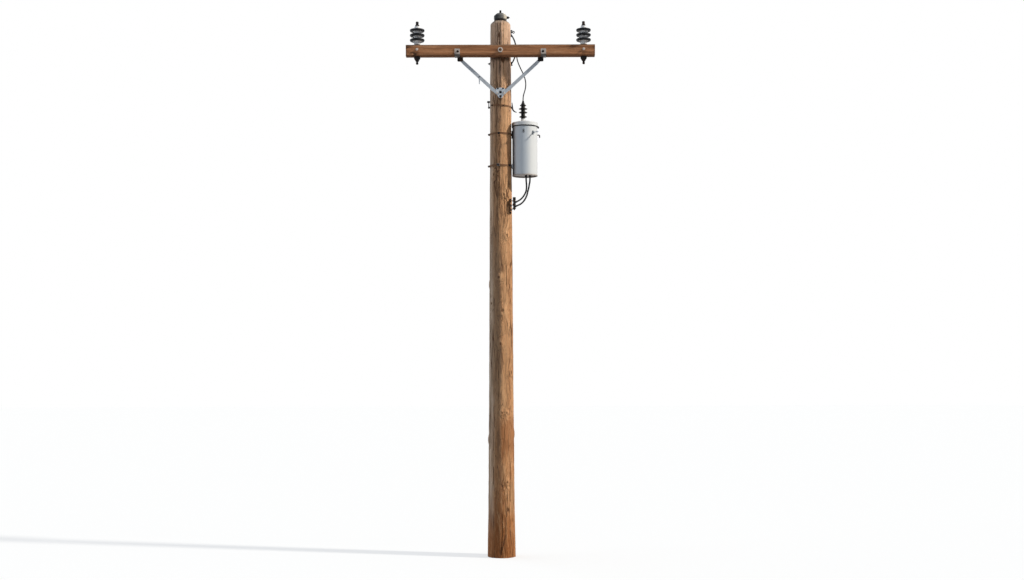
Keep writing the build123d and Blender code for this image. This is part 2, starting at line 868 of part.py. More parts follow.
def make_tank_boss(below_top, turn):
    """Earthing plate on the tank wall with its round boss."""
    outline = RectangleRounded(boss_plate_width, boss_plate_height, boss_plate_round)
    plate = extrude(Plane.YZ * outline, boss_plate_thickness)
    boss = extrude(Plane.YZ * Circle(boss_diameter / 2), boss_plate_thickness + boss_length)
    boss = Pos(tank_radius + seat_gap, 0, tank_top - below_top) * (plate + boss)
    return Pos(tank_x, 0, 0) * Rot(0, 0, turn) * boss


def make_gland(x, y):
    body = gland_diameter / 2
    tip = gland_tip_diameter / 2
    points = [
        (0, 0),
        (body, 0),
        (body, -gland_collar),
        (tip, -gland_length),
        (0, -gland_length),
    ]
    gland = turned(points, [0, gland_round, gland_round])
    return Pos(tank_x + x, y, tank_floor) * gland


def make_rack_plate():
    outline = RectangleRounded(rack_plate_width, rack_plate_height, rack_plate_round)
    plate = extrude(Plane.YZ * outline, rack_plate_thickness)
    plate = Pos(rack_seat, 0, rack_bottom_height + rack_plate_height / 2) * plate
    reach = rack_plate_thickness + rack_pin_offset
    bar = Pos(reach / 2, 0) * Rectangle(reach, rack_arm_width)
    bar += Pos(reach, 0) * Circle(rack_arm_width / 2)
    bar -= Pos(reach, 0) * Circle(rack_pin_diameter / 2 + shank_play)
    arm = extrude(bar, rack_arm_thickness / 2, both=True)
    for index in range(rack_arm_count):
        plate += Pos(rack_seat, 0, rack_lowest_arm + index * rack_arm_pitch) * arm
    return Rot(0, 0, rack_turn) * plate


def make_rack_pin():
    radius = rack_pin_diameter / 2
    low = rack_lowest_arm - rack_arm_thickness / 2
    high = rack_lowest_arm + (rack_arm_count - 1) * rack_arm_pitch + rack_arm_thickness / 2
    head = rack_pin_head_diameter / 2
    nut = rack_pin_nut_diameter / 2
    points = [
        (0, low - rack_pin_foot),
        (radius, low - rack_pin_foot),
        (radius, low - rack_pin_nut_height),
        (nut, low - rack_pin_nut_height),
        (nut, low),
        (radius, low),
        (radius, high),
        (head, high),
        (head, high + rack_pin_head_height),
        (0, high + rack_pin_head_height),
    ]
    pin = turned(points, [0, 0, 0, 0, 0, 0, rack_pin_round, rack_pin_round])
    return Rot(0, 0, rack_turn) * Pos(rack_pin_x, 0, 0) * pin


def make_spools():
    radius = spool_diameter / 2
    groove = spool_groove_diameter / 2
    bore = rack_pin_diameter / 2 + shank_play
    flange = spool_height * spool_flange_share
    points = [
        (bore, 0),
        (radius, 0),
        (radius, flange),
        (groove, 2 * flange),
        (groove, spool_height - 2 * flange),
        (radius, spool_height - flange),
        (radius, spool_height),
        (bore, spool_height),
    ]
    soft = spool_round
    spool = turned_ring(points, [0, soft, soft, soft, soft, soft, soft, 0])
    spools = []
    for index in range(rack_arm_count - 1):
        low = rack_lowest_arm + index * rack_arm_pitch + rack_arm_thickness / 2 + seat_gap
        spools.append(Rot(0, 0, rack_turn) * Pos(rack_pin_x, 0, low) * spool)
    return Compound(spools)


def ferrule_place(index, turn, tilt):
    """Place on the rack pin from which a ferrule's axis points outwards along local Z."""
    height = rack_lowest_arm + index * rack_arm_pitch + rack_arm_pitch / 2
    place = Rot(0, 0, rack_turn) * Pos(rack_pin_x, 0, height) * Rot(0, 0, turn - rack_turn)
    return place * Rot(0, 90 - tilt, 0)


def ferrule_start(tilt):
    """Distance from the rack pin's axis to the ferrule's inner end."""
    lean = math.radians(tilt)
    flat = ferrule_diameter / 2 - ferrule_round
    reach = spool_diameter / 2 + seat_gap + ferrule_round + flat * math.sin(lean)
    return reach / math.cos(lean) - ferrule_round


def make_ferrule(index, turn, tilt):
    """Ferrule that joins a secondary lead to its spool."""
    radius = ferrule_diameter / 2
    start = ferrule_start(tilt)
    end = start + ferrule_length
    points = [(0, start), (radius, start), (radius, end), (0, end)]
    return ferrule_place(index, turn, tilt) * turned(points, [ferrule_round, ferrule_round])


def placed(bends, x, z):
    """A lead's bends, moved to the axis and height that they are measured from."""
    return [(x + bend_x, bend_y, z + bend_z) for bend_x, bend_y, bend_z in bends]


def lead_tail(index, turn, tilt):
    """Last two points of a secondary lead, in line with its ferrule."""
    place = ferrule_place(index, turn, tilt)
    end = ferrule_start(tilt) + ferrule_length
    before = (place * Pos(0, 0, end + ferrule_run)).position
    return [tuple(before), tuple((place * Pos(0, 0, end)).position)]


def lead_head(x, y):
    """First two points of a secondary lead, straight down from its gland."""
    top = tank_floor - gland_length
    return [(tank_x + x, y, top), (tank_x + x, y, top - gland_run)]


def drop_lead_route():
    """Route of the lead from the bushing terminal up to the jumper clamp."""
    end_x = jumper_clamp_x + jumper_clamp_lead_offset
    head = [(bushing_x, 0, terminal_top_height), (bushing_x, 0, terminal_top_height + terminal_run)]
    tail = [(end_x, 0, jumper_clamp_bottom - clamp_run), (end_x, 0, jumper_clamp_bottom)]
    return head + placed(drop_lead_bends, bushing_x, terminal_top_height) + tail


def inner_lead_route():
    """Route of the lead from the inner gland to the upper spool."""
    tail = lead_tail(1, upper_ferrule_turn, upper_ferrule_tilt)
    bends = placed(inner_lead_bends, tank_x, tank_bottom_height)
    return lead_head(inner_gland_x, inner_gland_y) + bends + tail


def outer_lead_route():
    """Route of the lead from the outer gland to the lower spool."""
    tail = lead_tail(0, lower_ferrule_turn, lower_ferrule_tilt)
    bends = placed(outer_lead_bends, tank_x, tank_bottom_height)
    return lead_head(outer_gland_x, outer_gland_y) + bends + tail


def bend_radii(route):
    """Radius at each inner point, from the shorter run beside it and the turn there."""
    radii = []
    for before, here, after in zip(route, route[1:], route[2:]):
        run_in = Vector(here) - Vector(before)
        run_out = Vector(after) - Vector(here)
        half_turn = math.radians(run_in.get_angle(run_out)) / 2
        radii.append(bend_share * min(run_in.length, run_out.length) / math.tan(half_turn))
    return radii


def make_lead(route, diameter):
    radii = bend_radii(route)
    path = FilletPolyline(*route, radius=radii)
    start = Plane(origin=path @ 0, z_dir=path % 0)
    lead = sweep(start * Circle(diameter / 2), path)
    area = math.pi * diameter * diameter / 4
    print("lead length", round(path.length, 1), "least radius", round(min(radii), 1),
          "volume over section times length", round(lead.volume / (area * path.length), 4))
    print("route", [[round(value, 2) for value in point] for point in route])
    print("radii", [round(value) for value in radii])
    return lead


def build_nodes():
    right = Pos(insulator_x, crossarm_y, crossarm_top)
    left = Pos(-insulator_x, crossarm_y, crossarm_top)
    crown = Pos(0, 0, pin_shoulder_thickness + insulator_crown_height)
    brace_right, brace_left = both_sides(make_brace())
    clip_right, clip_left = both_sides(make_clip())
    clevis_right, clevis_left = both_sides(make_clevis())
    return {
        "pole": make_pole(),
        "crossarm": make_crossarm(),
        "brace_left": brace_left,
        "brace_right": brace_right,
        "brace_foot_plate": make_foot_plate(),
        "brace_clip_left": clip_left,
        "brace_clip_right": clip_right,
        "brace_clevis_left": clevis_left,
        "brace_clevis_right": clevis_right,
        "left_pin": left * make_pin(),
        "left_pin_nut": left * make_pin_nut(),
        "left_insulator": left * make_insulator_body(),
        "left_stud": left * crown * make_arm_stud(),
        "right_pin": right * make_pin(),
        "right_pin_nut": right * make_pin_nut(),
        "right_insulator": right * make_insulator_body(),
        "right_stud": right * crown * make_arm_stud(),
        "top_ring": make_top_ring(),
        "top_bell": make_top_bell(),
        "top_stud": make_top_stud(),
        "top_clamp": make_top_clamp(),
        "jumper_bar": make_jumper_bar(),
        "jumper_clamp": make_jumper_clamp(),
        "deadend_eye": make_deadend_eye(),
        "upper_band": make_upper_band(),
        "upper_hanger_band": make_band(upper_hanger_band_height, hanger_band_ear_turn),
        "lower_hanger_band": make_band(lower_hanger_band_height, hanger_band_ear_turn),
        "side_bracket": make_side_bracket(),
        "strap_tail": make_strap_tail(),
        "upper_hanger": make_hanger(upper_hanger_band_height, upper_hanger_rise),
        "lower_hanger": make_hanger(lower_hanger_band_height, lower_hanger_rise),
        "tank": make_tank(),
        "lid": make_lid(),
        "clamp_ring": make_clamp_ring(),
        "ring_latch": make_ring_latch(),
        "bushing_flange": make_bushing_flange(),
        "bushing": make_bushing(),
        "bushing_terminal": make_terminal(),
        "lift_hook": make_lift_hook(),
        "tank_bosses": Compound([
            make_tank_boss(front_boss_below_top, front_boss_turn),
            make_tank_boss(corner_boss_below_top, corner_boss_turn),
        ]),
        "glands": Compound([
            make_gland(inner_gland_x, inner_gland_y),
            make_gland(outer_gland_x, outer_gland_y),
        ]),
        "rack_plate": make_rack_plate(),
        "rack_pin": make_rack_pin(),
        "spools": make_spools(),
        "ferrules": Compound([
            make_ferrule(1, upper_ferrule_turn, upper_ferrule_tilt),
            make_ferrule(0, lower_ferrule_turn, lower_ferrule_tilt),
        ]),
        "drop_lead": make_lead(drop_lead_route(), drop_lead_diameter),
        "inner_lead": make_lead(inner_lead_route(), secondary_lead_diameter),
        "outer_lead": make_lead(outer_lead_route(), secondary_lead_diameter),
    }


os.makedirs("parts", exist_ok=True)
for name, shape in build_nodes().items():
    export_step(shape, "parts/" + name + ".step")
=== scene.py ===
import math
from functools import reduce

import bmesh
import bpy
from bpy.props import FloatProperty, FloatVectorProperty, IntProperty, PointerProperty
from mathutils import Matrix, Vector


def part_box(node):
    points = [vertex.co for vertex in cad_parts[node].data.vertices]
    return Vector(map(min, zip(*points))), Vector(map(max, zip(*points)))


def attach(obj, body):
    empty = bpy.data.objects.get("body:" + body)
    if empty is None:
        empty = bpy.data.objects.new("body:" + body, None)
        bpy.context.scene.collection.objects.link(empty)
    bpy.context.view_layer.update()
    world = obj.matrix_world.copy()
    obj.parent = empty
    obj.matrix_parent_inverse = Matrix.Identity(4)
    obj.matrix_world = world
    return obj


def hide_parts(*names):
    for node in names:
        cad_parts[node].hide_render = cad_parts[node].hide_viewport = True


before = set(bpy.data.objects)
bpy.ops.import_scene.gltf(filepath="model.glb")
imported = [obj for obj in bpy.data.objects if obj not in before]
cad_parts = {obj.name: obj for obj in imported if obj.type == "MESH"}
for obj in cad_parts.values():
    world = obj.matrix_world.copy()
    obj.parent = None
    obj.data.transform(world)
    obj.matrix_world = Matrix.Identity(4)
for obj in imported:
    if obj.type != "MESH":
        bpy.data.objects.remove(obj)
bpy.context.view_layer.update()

bl_info = {
    "name": "Utility pole dressing",
    "version": (1, 0, 0),
    "blender": (4, 5, 0),
    "location": "3D View > Sidebar > Utility Pole",
    "description": "Timber, fasteners, leads, finishes and stage for a wooden utility pole",
    "category": "Object",
}


# Settings


class PoleTimber(bpy.types.PropertyGroup):
    """Round pole: the sizes of its turned form and the colours of its wood."""

    sides: IntProperty(
        name="Sides", description="Faces round the pole", default=192, min=24)
    cuts: IntProperty(
        name="Cuts", description="Extra rings between two stations of the pole", default=7, min=1)
    height: FloatProperty(
        name="Height", description="Ground to the pole's top", default=9.74, unit='LENGTH')
    ground_diameter: FloatProperty(
        name="Ground diameter", description="Straight taper's diameter at ground level",
        default=0.480, unit='LENGTH')
    top_diameter: FloatProperty(
        name="Top diameter", description="Straight taper's diameter at the top",
        default=0.376, unit='LENGTH')
    swell: FloatProperty(
        name="Butt swell", description="How much wider the butt is than the taper",
        default=0.030, unit='LENGTH')
    swell_height: FloatProperty(
        name="Swell height", description="Height at which the swell ends", default=1.9, unit='LENGTH')
    roof_height: FloatProperty(
        name="Roof height", description="Height of the bevelled top", default=0.064, unit='LENGTH')
    roof_inset: FloatProperty(
        name="Roof inset", description="How far the top steps in", default=0.058, unit='LENGTH')
    lump: FloatProperty(
        name="Lumps", description="Height of the broad unevenness of the trunk",
        default=0.010, unit='LENGTH')
    ridge: FloatProperty(
        name="Ridges", description="Height of the long ridges along the grain",
        default=0.007, unit='LENGTH')
    check_depth: FloatProperty(
        name="Check depth", description="Depth of the long drying checks", default=0.016, unit='LENGTH')
    scar: FloatProperty(
        name="Scars", description="Depth of the shallow scars left by the bark",
        default=0.007, unit='LENGTH')
    knot_rise: FloatProperty(
        name="Knot rise", description="How far a knot's collar stands out", default=0.016, unit='LENGTH')
    butt: FloatVectorProperty(
        name="Butt", description="Red brown wood near the ground", subtype='COLOR',
        default=(0.44, 0.172, 0.056), min=0.0, max=1.0)
    trunk: FloatVectorProperty(
        name="Trunk", description="Wood of the trunk", subtype='COLOR',
        default=(0.60, 0.297, 0.138), min=0.0, max=1.0)
    crown: FloatVectorProperty(
        name="Crown", description="Bleached wood near the top", subtype='COLOR',
        default=(0.89, 0.594, 0.418), min=0.0, max=1.0)
    streak: FloatVectorProperty(
        name="Dark streaks", description="Dark grain and checks", subtype='COLOR',
        default=(0.125, 0.054, 0.023), min=0.0, max=1.0)
    pale: FloatVectorProperty(
        name="Pale streaks", description="Pale worn fibres", subtype='COLOR',
        default=(0.83, 0.493, 0.260), min=0.0, max=1.0)


class ArmTimber(bpy.types.PropertyGroup):
    """Crossarm: the unevenness and colours of sawn wood."""

    edge: FloatProperty(
        name="Edge", description="Worn round along the arm's edges", default=0.008, unit='LENGTH')
    ridge: FloatProperty(
        name="Ridges", description="Height of the raised grain", default=0.004, unit='LENGTH')
    wood: FloatVectorProperty(
        name="Wood", description="Main colour", subtype='COLOR',
        default=(0.58, 0.262, 0.123), min=0.0, max=1.0)
    dark: FloatVectorProperty(
        name="Dark grain", description="Dark bands of the grain", subtype='COLOR',
        default=(0.160, 0.064, 0.028), min=0.0, max=1.0)
    pale: FloatVectorProperty(
        name="Pale grain", description="Pale bands of the grain", subtype='COLOR',
        default=(0.67, 0.382, 0.214), min=0.0, max=1.0)


class Hardware(bpy.types.PropertyGroup):
    """Fasteners: their sizes, and the colours of the metal work."""

    large_bolt: FloatProperty(
        name="Large bolt", description="Across the flats of the arm bolt's nut",
        default=0.040, unit='LENGTH')
    middle_bolt: FloatProperty(
        name="Middle bolt", description="Across the flats of brace and plate nuts",
        default=0.032, unit='LENGTH')
    small_bolt: FloatProperty(
        name="Small bolt", description="Across the flats of band and clamp nuts",
        default=0.022, unit='LENGTH')
    zinc: FloatVectorProperty(
        name="Zinc", description="Dull zinc coating", subtype='COLOR',
        default=(0.64, 0.69, 0.75), min=0.0, max=1.0)
    bright_zinc: FloatVectorProperty(
        name="Bright zinc", description="Fresher zinc on plates and washers", subtype='COLOR',
        default=(0.80, 0.725, 0.66), min=0.0, max=1.0)
    iron: FloatVectorProperty(
        name="Iron", description="Dark weathered iron", subtype='COLOR',
        default=(0.017, 0.015, 0.015), min=0.0, max=1.0)
    rust: FloatVectorProperty(
        name="Rust", description="Rust on dark iron", subtype='COLOR',
        default=(0.230, 0.118, 0.060), min=0.0, max=1.0)


class Coatings(bpy.types.PropertyGroup):
    """Glaze, paint and jacket colours."""

    glaze: FloatVectorProperty(
        name="Shed glaze", description="Dark glaze on the sheds", subtype='COLOR',
        default=(0.007, 0.0075, 0.0095), min=0.0, max=1.0)
    core: FloatVectorProperty(
        name="Core glaze", description="Grey glaze between the sheds", subtype='COLOR',
        default=(0.90, 0.90, 0.91), min=0.0, max=1.0)
    bell: FloatVectorProperty(
        name="Bell glaze", description="Dark glaze of the pole-top bell", subtype='COLOR',
        default=(0.190, 0.184, 0.178), min=0.0, max=1.0)
    paint: FloatVectorProperty(
        name="Tank paint", description="Light grey paint", subtype='COLOR',
        default=(0.735, 0.778, 0.822), min=0.0, max=1.0)
    grime: FloatVectorProperty(
        name="Grime", description="Dust and rain streaks on the paint", subtype='COLOR',
        default=(0.27, 0.25, 0.22), min=0.0, max=1.0)
    jacket: FloatVectorProperty(
        name="Lead jacket", description="Black jacket of the leads", subtype='COLOR',
        default=(0.013, 0.013, 0.015), min=0.0, max=1.0)


class Stage(bpy.types.PropertyGroup):
    """Floor, light and camera."""

    floor_size: FloatProperty(
        name="Floor size", description="Length of the floor's side", default=160.0, unit='LENGTH')
    floor: FloatVectorProperty(
        name="Floor", description="Pale floor", subtype='COLOR',
        default=(0.74, 0.74, 0.74), min=0.0, max=1.0)
    floor_bounce: FloatVectorProperty(
        name="Floor bounce", description="Floor colour that lights the object from below",
        subtype='COLOR', default=(0.34, 0.33, 0.32), min=0.0, max=1.0)
    floor_glow: FloatProperty(
        name="Floor glow", description="Strength of the glow that makes the floor look white",
        default=1.26)
    sky: FloatVectorProperty(
        name="Fill light", description="Soft light from all round", subtype='COLOR',
        default=(0.27, 0.295, 0.33), min=0.0, max=1.0)
    key_strength: FloatProperty(
        name="Key light", description="Strength of the key light", default=3.1)
    key_colour: FloatVectorProperty(
        name="Key colour", description="Colour of the key light", subtype='COLOR',
        default=(1.0, 0.945, 0.85), min=0.0, max=1.0)
    key_softness: FloatProperty(
        name="Key softness", description="Angle that the key light fills",
        default=math.radians(3.5), subtype='ANGLE')
    key_turn: FloatProperty(
        name="Key turn", description="Key light's turn from the right towards the viewer",
        default=math.radians(14), subtype='ANGLE')
    key_height: FloatProperty(
        name="Key height", description="Key light's height over the horizon",
        default=math.radians(34), subtype='ANGLE')
    side_strength: FloatProperty(
        name="Side light", description="Strength of the cool light from the left", default=1.5)
    side_colour: FloatVectorProperty(
        name="Side colour", description="Colour of the light from the left", subtype='COLOR',
        default=(0.78, 0.89, 1.0), min=0.0, max=1.0)
    side_towards: FloatVectorProperty(
        name="Side direction", description="Way from the pole to the light on the left",
        subtype='DIRECTION', default=(-0.85, 0.30, 0.35))
    side_softness: FloatProperty(
        name="Side softness", description="Angle that the light on the left fills",
        default=math.radians(80), subtype='ANGLE')
    lens: FloatProperty(name="Lens", description="Focal length in millimetres", default=46.432)
    camera_place: FloatVectorProperty(
        name="Camera place", description="Where the camera stands", subtype='TRANSLATION',
        default=(0.1985, -24.0, 3.5))
    camera_pitch: FloatProperty(
        name="Camera pitch", description="How far the camera looks up",
        default=math.radians(3.1025), subtype='ANGLE')
    camera_roll: FloatProperty(
        name="Camera roll", description="How far the camera leans to the right",
        default=math.radians(0.17), subtype='ANGLE')


# Shader maths


# Sockets of a Mix node that mixes colours: its factor, its two colours and its result.
MIX_FACTOR, MIX_FIRST, MIX_SECOND, MIX_RESULT = 0, 6, 7, 2


class Value:
    """A socket in a finish's node tree. Arithmetic on it adds Math nodes."""

    def __init__(self, finish, socket):
        self.finish = finish
        self.socket = socket

    def math(self, operation, *others):
        return self.finish.node("Math", {"operation": operation}, [self, *others])

    def __add__(self, other):
        return self.math('ADD', other)

    def __radd__(self, other):
        return self.math('ADD', other)

    def __sub__(self, other):
        return self.math('SUBTRACT', other)

    def __rsub__(self, other):
        return self.finish.node("Math", {"operation": 'SUBTRACT'}, [other, self])

    def __mul__(self, other):
        return self.math('MULTIPLY', other)

    def __rmul__(self, other):
        return self.math('MULTIPLY', other)

    def __truediv__(self, other):
        return self.math('DIVIDE', other)

    def __rtruediv__(self, other):
        return self.finish.node("Math", {"operation": 'DIVIDE'}, [other, self])

    def __pow__(self, other):
        return self.math('POWER', other)

    def __abs__(self):
        return self.math('ABSOLUTE')

    def at_most(self, other):
        return self.math('MINIMUM', other)

    def at_least(self, other):
        return self.math('MAXIMUM', other)

    def sine(self):
        return self.math('SINE')

    def ragged(self, noise, amount):
        """This value, moved up and down by a noise that swings about one half."""
        return self + (noise - 0.5) * amount

    def step(self, low, high):
        """0 below low and 1 above high, eased between them. Reversed bounds give the inverse."""
        rising = low < high
        first, last = (low, high) if rising else (high, low)
        ends = [0.0, 1.0] if rising else [1.0, 0.0]
        settings = {"interpolation_type": 'SMOOTHSTEP', "clamp": True}
        return self.finish.node("MapRange", settings, [self, first, last, *ends])


class Finish:
    """A material and the one method that adds any node to it."""

    def __init__(self, name):
        self.material = bpy.data.materials.new(name)
        self.material.use_nodes = True
        self.tree = self.material.node_tree
        self.tree.nodes.clear()
        self.shader = self.tree.nodes.new("ShaderNodeBsdfPrincipled")
        output = self.tree.nodes.new("ShaderNodeOutputMaterial")
        self.tree.links.new(self.shader.outputs[0], output.inputs[0])

    def feed(self, socket, value):
        if isinstance(value, Value):
            self.tree.links.new(value.socket, socket)
        elif isinstance(value, (int, float)):
            socket.default_value = value
        else:
            size = len(socket.default_value)
            socket.default_value = tuple(value)[:size] if len(value) >= size else (*value, 1.0)

    def node(self, kind, settings=None, inputs=None, output=0):
        """Adds a node: its settings first, then its inputs, by name or in order."""
        node = self.tree.nodes.new("ShaderNode" + kind)
        for key, value in (settings or {}).items():
            setattr(node, key, value)
        pairs = inputs.items() if isinstance(inputs, dict) else enumerate(inputs or [])
        for key, value in pairs:
            self.feed(node.inputs[key], value)
        return Value(self, node.outputs[output])

    def place(self, scale=(1, 1, 1), shift=(0, 0, 0)):
        """Object coordinates, moved by shift and then scaled."""
        coordinates = self.node("TexCoord", output="Object")
        moved = self.node("VectorMath", {"operation": 'ADD'}, [coordinates, shift])
        return self.node("VectorMath", {"operation": 'MULTIPLY'}, [moved, scale])

    def noise(self, vector, scale=1.0, detail=4.0, roughness=0.55, distortion=0.0):
        inputs = {"Vector": vector, "Scale": scale, "Detail": detail, "Roughness": roughness,
                  "Distortion": distortion}
        return self.node("TexNoise", {"noise_dimensions": '3D'}, inputs)

    def cells(self, vector, scale=1.0, feature='DISTANCE_TO_EDGE', output=0):
        inputs = {"Vector": vector, "Scale": scale}
        return self.node("TexVoronoi", {"feature": feature}, inputs, output)

    def axes(self, vector):
        split = self.node("SeparateXYZ", inputs=[vector])
        outputs = split.socket.node.outputs
        return [Value(self, outputs[index]) for index in range(3)]

    def mix(self, factor, first, second):
        """Colour between first and second."""
        settings = {"data_type": 'RGBA', "clamp_factor": True}
        inputs = {MIX_FACTOR: factor, MIX_FIRST: first, MIX_SECOND: second}
        return self.node("Mix", settings, inputs, output=MIX_RESULT)

    def bump(self, height, distance, strength=1.0):
        inputs = {"Strength": strength, "Distance": distance, "Height": height}
        return self.node("Bump", inputs=inputs)

    def close(self, colour, roughness, normal=None, metallic=0.0, constants=None):
        """Feeds the shader and returns the material."""
        inputs = self.shader.inputs
        self.feed(inputs["Base Color"], colour)
        self.feed(inputs["Roughness"], roughness)
        self.feed(inputs["Metallic"], metallic)
        if normal is not None:
            self.feed(inputs["Normal"], normal)
        for name, value in (constants or {}).items():
            inputs[name].default_value = value
        return self.material


# Finishes


# Drying checks: turn round the pole in degrees, lowest and highest point in metres, and half width in
# radians.
CHECKS = (
    (-92, 8.02, 9.70, 0.024), (-97, 6.20, 7.40, 0.014), (-88, 0.02, 0.80, 0.018), (-50, 0.95, 1.85, 0.018),
    (-103, 2.60, 3.70, 0.013), (-62, 4.70, 5.30, 0.011), (-128, 1.20, 2.60, 0.015), (-70, 6.10, 6.75, 0.013),
    (-112, 6.60, 8.00, 0.012), (-40, 7.70, 8.55, 0.012), (-150, 3.90, 6.00, 0.014), (160, 0.50, 3.10, 0.020),
    (96, 3.00, 8.20, 0.022), (60, 0.30, 1.70, 0.018), (20, 2.50, 5.20, 0.018), (-20, 1.00, 2.60, 0.014),
    (130, 6.40, 9.20, 0.018), (-175, 7.00, 9.30, 0.014), (40, 6.00, 9.10, 0.016),
)

# Knots: turn in degrees, height and radius in metres.
KNOTS = (
    (-84, 4.42, 0.046), (-93, 3.82, 0.034), (-88, 2.58, 0.026), (-66, 2.58, 0.026), (-98, 7.60, 0.030),
    (-60, 5.78, 0.034), (-128, 6.90, 0.030), (-101, 5.02, 0.030), (-75, 6.52, 0.034), (150, 8.70, 0.030),
    (-64, 1.34, 0.030), (-140, 4.55, 0.032), (-36, 3.30, 0.036), (157, 4.90, 0.040), (56, 6.10, 0.042),
    (106, 3.00, 0.045), (16, 2.20, 0.038), (84, 8.60, 0.036), (-170, 2.10, 0.036), (120, 5.20, 0.034),
)

# A check's wander: three waves along the pole, each with its pitch, phase and reach in radians.
WANDER = ((2.3, 0.4, 0.045), (6.1, 1.1, 0.022), (13.7, 0.3, 0.010))

# The knots' eyes, the collars round them and the grain that bends round both: where each fades out
# and where it is full, in shares of the knot's radius.
KNOT_REACH_SHARES = ((0.80, 0.25), (1.9, 0.8), (4.2, 0.5))

# A knot's width over its height, and how far it pushes the pattern of the grain aside.
KNOT_FLATNESS = 0.6
KNOT_SHOVE = (0.055, 0.040, 0.16)

# Heights on the pole: where the border of its painted lit half crosses the middle and where it turns
# back, the two pools of painted light, and the worn red patch.
BORDER_CROSSES = 4.5
BORDER_TURNS = 7.0
PAINTED_LIGHT_HEIGHTS = (1.12, 7.75)
WORN_HEIGHT = 2.15

# Tints on the pole: the colour of its painted shade, rain grey that is also lightened as a painted rim
# light, red earth, painted shade and shadow below the crossarm and the foot plate, and grey at the top.
PAINTED_SHADE_COLOUR = (0.185, 0.150, 0.108)
GREY_FIBRES = (0.40, 0.295, 0.215)
SILVER_FIBRES = (0.72, 0.56, 0.43)
RED_EARTH = (0.31, 0.102, 0.028)
PAINTED_SHADOW_COLOUR = (0.045, 0.022, 0.012)
GREY_TOP = (0.30, 0.255, 0.21)

# Tints of the crossarm's broad grain and stains.
BROAD_GRAIN = (0.36, 0.205, 0.110)
RUST_RUN = (0.12, 0.050, 0.024)
WEATHERED_TOP = (0.20, 0.150, 0.110)
OPEN_SPLIT = (0.035, 0.018, 0.010)

# Tints on metal.
WHITE_BLOOM = (0.80, 0.82, 0.84)
RUSTY_GRIT = (0.15, 0.085, 0.052)
BOSS_ZINC = (0.30, 0.33, 0.36)
CLIP_ZINC = (0.70, 0.60, 0.53)
PLATE_ZINC = (0.82, 0.88, 0.95)

# Tints on glaze and jackets, with the painted highlight on the side of the sheds and the bell that faces
# the key light, and painted shade on the bell's other side.
SHED_DUST = (0.040, 0.040, 0.043)
SHED_RUN = (0.075, 0.073, 0.070)
PAINTED_SUN_HIGHLIGHT = (0.27, 0.245, 0.20)
BELL_DUST = (0.060, 0.060, 0.062)
BELL_PAINTED_SHADE = (0.014, 0.014, 0.015)
BELL_PAINTED_HIGHLIGHT = (0.74, 0.66, 0.54)
BELL_RUN = (0.030, 0.030, 0.034)
BELL_FOOT = (0.018, 0.018, 0.02)
JACKET_CHALK = (0.034, 0.034, 0.037)

# Tints on the tank: painted light on its outer side and cool painted shade on the rest, the lid's
# lighter paint, painted shade on the wall that faces the pole, an underside tint that is partly rust and
# partly painted light bounced up from the floor, and a rusty bead.
PAINTED_LIGHT_TINT = (0.84, 0.83, 0.795)
PAINTED_COOL_SHADE = (0.58, 0.66, 0.745)
LIGHTER_LID_PAINT = (0.84, 0.85, 0.855)
TANK_PAINTED_SHADE = (0.045, 0.045, 0.050)
TANK_UNDERSIDE = (0.20, 0.145, 0.110)
RUSTY_BEAD = (0.42, 0.33, 0.26)

# Shine of wood and the bell, of glazed sheds, of iron and jackets, and of paint.
DRY_SHINE = {"Specular IOR Level": 0.22}
GLAZE_SHINE = {"Specular IOR Level": 0.24}
DULL_SHINE = {"Specular IOR Level": 0.25}
PAINT_SHINE = {"Coat Weight": 0.12, "Coat Roughness": 0.25}

# Roughness of jackets and mouldings under their chalk.
JACKET_ROUGHNESS = 0.45


def strongest(masks):
    """The largest of several masks at each point."""
    return reduce(Value.at_least, masks)


def dimmed(colour, share):
    """A colour that keeps a share of its brightness."""
    return [value * share for value in colour]


def wander(z, sine):
    """How far a check strays round the pole at height z, in radians."""
    slow, middling, quick = (sine(z * pitch + phase) * reach for pitch, phase, reach in WANDER)
    return slow + middling + quick


def knot_masks(finish, timber):
    """Masks of the knots' eyes, of their collars and of the grain that bends round them."""
    flat = finish.place((1, 1, KNOT_FLATNESS))
    groups = [[] for _ in KNOT_REACH_SHARES]
    for degrees, height, size in KNOTS:
        angle = math.radians(degrees)
        radius = pole_radius(timber, height)
        centre = (radius * math.cos(angle), radius * math.sin(angle), height * KNOT_FLATNESS)
        distance = finish.node("VectorMath", {"operation": 'DISTANCE'}, [flat, centre], output="Value")
        for masks, (faded, full) in zip(groups, KNOT_REACH_SHARES):
            masks.append(distance.step(size * faded, size * full))
    return [strongest(masks) for masks in groups]


def check_mask(turn, z):
    """Mask of the long checks, at the places where the mesh is cut."""
    lines = []
    for degrees, low, high, width in CHECKS:
        across = abs(turn - math.radians(degrees) - wander(z + degrees, Value.sine))
        centre, half = (low + high) / 2, (high - low) / 2
        along = (abs(z - centre) / half).step(1.0, 0.78)
        lines.append(across.step(width * 1.2, width * 0.35) * along)
    return strongest(lines)


